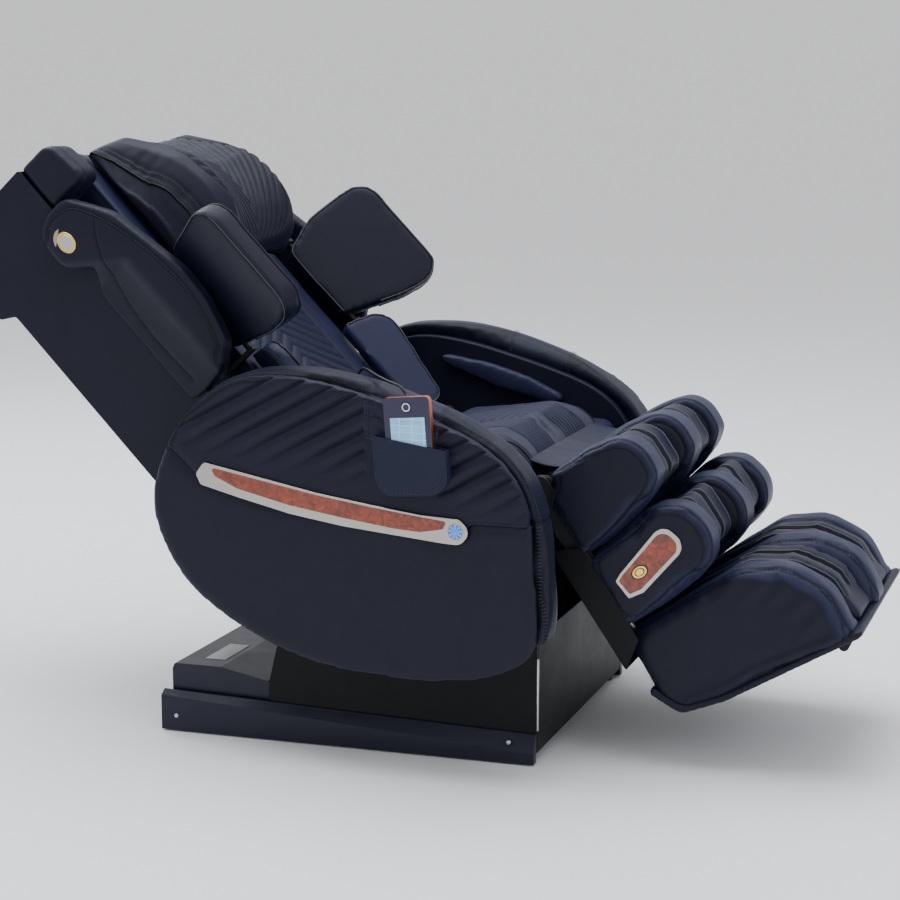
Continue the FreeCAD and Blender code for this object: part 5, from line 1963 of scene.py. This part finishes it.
# ---------------------------------------------------------------- base and works
@dataclass
class Base:
    """The base: skirts, panels, rear cover, frame, feet, wheels, switch and pump."""

    screw_radius: float = 5.0

    def build(self) -> None:
        """Dresses the base's hard parts and adds their small details."""
        hard = (("side_skirts", 1.6, SKIRT, "base"), ("lower_panels", 1.6, BLACK_PLASTIC, "base"),
                ("front_panel", 1.6, BLACK_PLASTIC, "base"), ("rear_cover", 1.6, SKIRT, "base"),
                ("control_box", 1.6, MATTE_BLACK, "base"),
                ("power_inlet", 0.6, MATTE_BLACK, "base"),
                ("air_pump", 1.6, GREY, "base"), ("base_frame", 1.0, FRAME_PAINT, "base"),
                ("hinge_stand", 1.0, FRAME_PAINT, "base"), ("rubber_feet", 1.5, RUBBER, "base"),
                ("cord_gland", 0.6, MATTE_BLACK, "base"),
                ("power_switch", 0.5, MATTE_BLACK, "rocker"),
                ("transport_wheels", 1.5, MATTE_BLACK, "wheels"))
        for node, bevel, finish, body in hard:
            fit(refined(node, bevel), body, finish, node)
        self.make_details()

    def make_details(self) -> None:
        """The skirts' screws, the bright edge strips and the blank plate."""
        low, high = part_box("side_skirts")
        for name, y, z in (("front", low.y + 0.045, 0.04), ("rear", high.y - 0.03, 0.03)):
            screw = bmesh.new()
            bmesh.ops.create_cone(screw, cap_ends=True, segments=24, radius1=self.screw_radius * MM,
                                  radius2=0.6 * self.screw_radius * MM, depth=2.0 * MM)
            bmesh.ops.rotate(screw, matrix=Matrix.Rotation(math.radians(-90), 3, "Y"),
                             verts=screw.verts)
            bmesh.ops.translate(screw, vec=(low.x - 0.6 * MM, y, z), verts=screw.verts)
            fit_pair(from_bmesh(f"skirt_screw_{name}_right", screw), "base", STEEL)
        panel_low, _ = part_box("lower_panels")
        strip = bmesh.new()
        bmesh.ops.create_cube(strip, size=1.0)
        bmesh.ops.scale(strip, vec=(5 * MM, 3 * MM, 128 * MM), verts=strip.verts)
        bmesh.ops.translate(strip, vec=(panel_low.x + 3 * MM, panel_low.y - 1.5 * MM,
                                        panel_low.z + 105 * MM), verts=strip.verts)
        bmesh.ops.bevel(strip, geom=strip.edges[:], offset=0.9 * MM, segments=3, profile=0.5,
                        affect="EDGES", material=-1)
        fit_pair(from_bmesh("front_edge_strip_right", strip), "base", STEEL)
        _, cover_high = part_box("rear_cover")
        plate = bmesh.new()
        bmesh.ops.create_cube(plate, size=1.0)
        bmesh.ops.scale(plate, vec=(110 * MM, 40 * MM, 1.2 * MM), verts=plate.verts)
        bmesh.ops.bevel(plate, geom=plate.edges[:], offset=0.4 * MM, segments=2, profile=0.5,
                        affect="EDGES", material=-1)
        bmesh.ops.translate(plate, vec=(-0.19, cover_high.y - 0.065, cover_high.z + 0.4 * MM),
                            verts=plate.verts)
        fit(from_bmesh("blank_plate", plate), "base", LABEL)


@dataclass
class Works:
    """What lies inside: frames, drives, carriage and rollers, which keep their CAD shapes."""

    def build(self) -> None:
        """Gives every inner CAD part a bevelled copy and its finish."""
        # the seat pan's near black plywood is painted shade for the gap it shows through
        inner = (("seat_frame", 0.8, FRAME_PAINT, "seat"), ("seat_pan", 0.8, SHADED_PLY, "seat"),
                 ("back_frame", 0.8, FRAME_PAINT, "back"), ("lift_drive", 0.5, STEEL, "back"),
                 ("massage_carriage", 1.2, CAST, "carriage"),
                 ("kneading_arm_left", 0.8, CAST, "kneader_left"),
                 ("kneading_arm_right", 0.8, CAST, "kneader_right"),
                 ("kneading_roller_left", 2.5, NYLON, "roller_left"),
                 ("kneading_roller_right", 2.5, NYLON, "roller_right"),
                 ("leg_frame", 0.8, FRAME_PAINT, "leg"), ("foot_rails", 0.5, STEEL, "foot"),
                 ("back_motor", 1.2, CAST, "back_drive"),
                 ("back_rod", 0.5, STEEL, "back_drive_rod"),
                 ("leg_motor", 1.2, CAST, "leg_drive"), ("leg_rod", 0.5, STEEL, "leg_drive_rod"),
                 ("seat_motor", 1.2, CAST, "seat_drive"),
                 ("seat_rod", 0.5, STEEL, "seat_drive_rod"))
        for node, bevel, finish, body in inner:
            fit(refined(node, bevel), body, finish, node)


# ---------------------------------------------------------------- stage
@dataclass
class Stage:
    """The pale floor, the soft lights and the camera."""

    camera_place: Place = (-3.795, -1.353, 1.15)
    camera_drop: float = 9.37
    camera_turn: float = -71.67
    lens: float = 87.3
    floor_tone: float = 0.92

    def build(self) -> None:
        """Makes the camera, the floor and the lights."""
        scene = bpy.context.scene
        lens = bpy.data.cameras.new("Camera")
        lens.sensor_width = 36.0
        lens.lens = self.lens
        lens.clip_end = 60.0
        camera = bpy.data.objects.new("Camera", lens)
        scene.collection.objects.link(camera)
        camera.location = self.camera_place
        camera.rotation_euler = (math.radians(90 - self.camera_drop), 0.0,
                                 math.radians(self.camera_turn))
        scene.camera = camera
        self.make_floor()
        self.make_lights()

    def make_floor(self) -> None:
        """A wide pale floor under a pale sky."""
        shape = bmesh.new()
        bmesh.ops.create_grid(shape, x_segments=2, y_segments=2, size=30.0)
        floor = from_bmesh("floor", shape, smooth=False)
        paint = bpy.data.materials.new("Pale floor")
        paint.use_nodes = True
        pen = Pen(paint.node_tree)
        shader = paint.node_tree.nodes["Principled BSDF"]
        place = pen.place()
        cloud = pen.noise(place, 3.0, 3.0)
        tone = self.floor_tone
        base = pen.mix(cloud, (tone * 0.985,) * 3, (tone,) * 3)
        paint.node_tree.links.new(base, shader.inputs["Base Color"])
        shader.inputs["Roughness"].default_value = 0.9
        floor.data.materials.append(paint)
        world = bpy.data.worlds.new("Pale sky")
        bpy.context.scene.world = world
        world.use_nodes = True
        sky = world.node_tree.nodes["Background"]
        pen = Pen(world.node_tree)
        way = pen.add("ShaderNodeTexCoord").outputs["Generated"]
        height = pen.add("ShaderNodeSeparateXYZ", {"Vector": way}).outputs[2]
        shade = pen.mix(pen.maths("MAXIMUM", height, 0.0), (0.88, 0.89, 0.91), (1.0, 1.01, 1.04))
        world.node_tree.links.new(shade, sky.inputs[0])
        sky.inputs[1].default_value = 0.92

    def make_lights(self) -> None:
        """A large soft light overhead, and weaker ones from the front and the rear."""
        lights = (("Overhead", (0.0, 0.3, 4.6), (0.0, -0.1, 0.3), 5.0, 230.0, (0.9, 0.94, 1.0)),
                  ("Front", (-2.6, -4.4, 3.0), (0.0, -0.3, 0.5), 2.0, 40.0, (0.8, 0.88, 1.0)),
                  ("Rear", (1.8, 3.2, 3.2), (0.0, 0.2, 0.8), 2.4, 80.0, (0.82, 0.9, 1.0)))
        for name, place, aim, size, power, colour in lights:
            lamp = bpy.data.lights.new(name, "AREA")
            lamp.shape = "DISK"
            lamp.size = size
            lamp.energy = power
            lamp.color = colour
            light = bpy.data.objects.new(name, lamp)
            bpy.context.scene.collection.objects.link(light)
            light.location = place
            way = Vector(aim) - Vector(place)
            light.rotation_euler = way.to_track_quat("-Z", "Y").to_euler()


def write_sizes() -> None:
    """Brings the scene's placements up to date."""
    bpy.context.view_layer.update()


def main() -> None:
    """Builds the chair, sub-assembly by sub-assembly."""
    logging.basicConfig(level=logging.INFO, format="%(name)s: %(message)s")
    for assembly in (Stage(), Handset(), ArmPod(), BackRest(), Seat(), LegRest(), FootRest(),
                     Gaiters(), Base(), Works()):
        log.info("building %s", type(assembly).__name__)
        assembly.build()
    write_sizes()


if __name__ == "__main__":
    main()
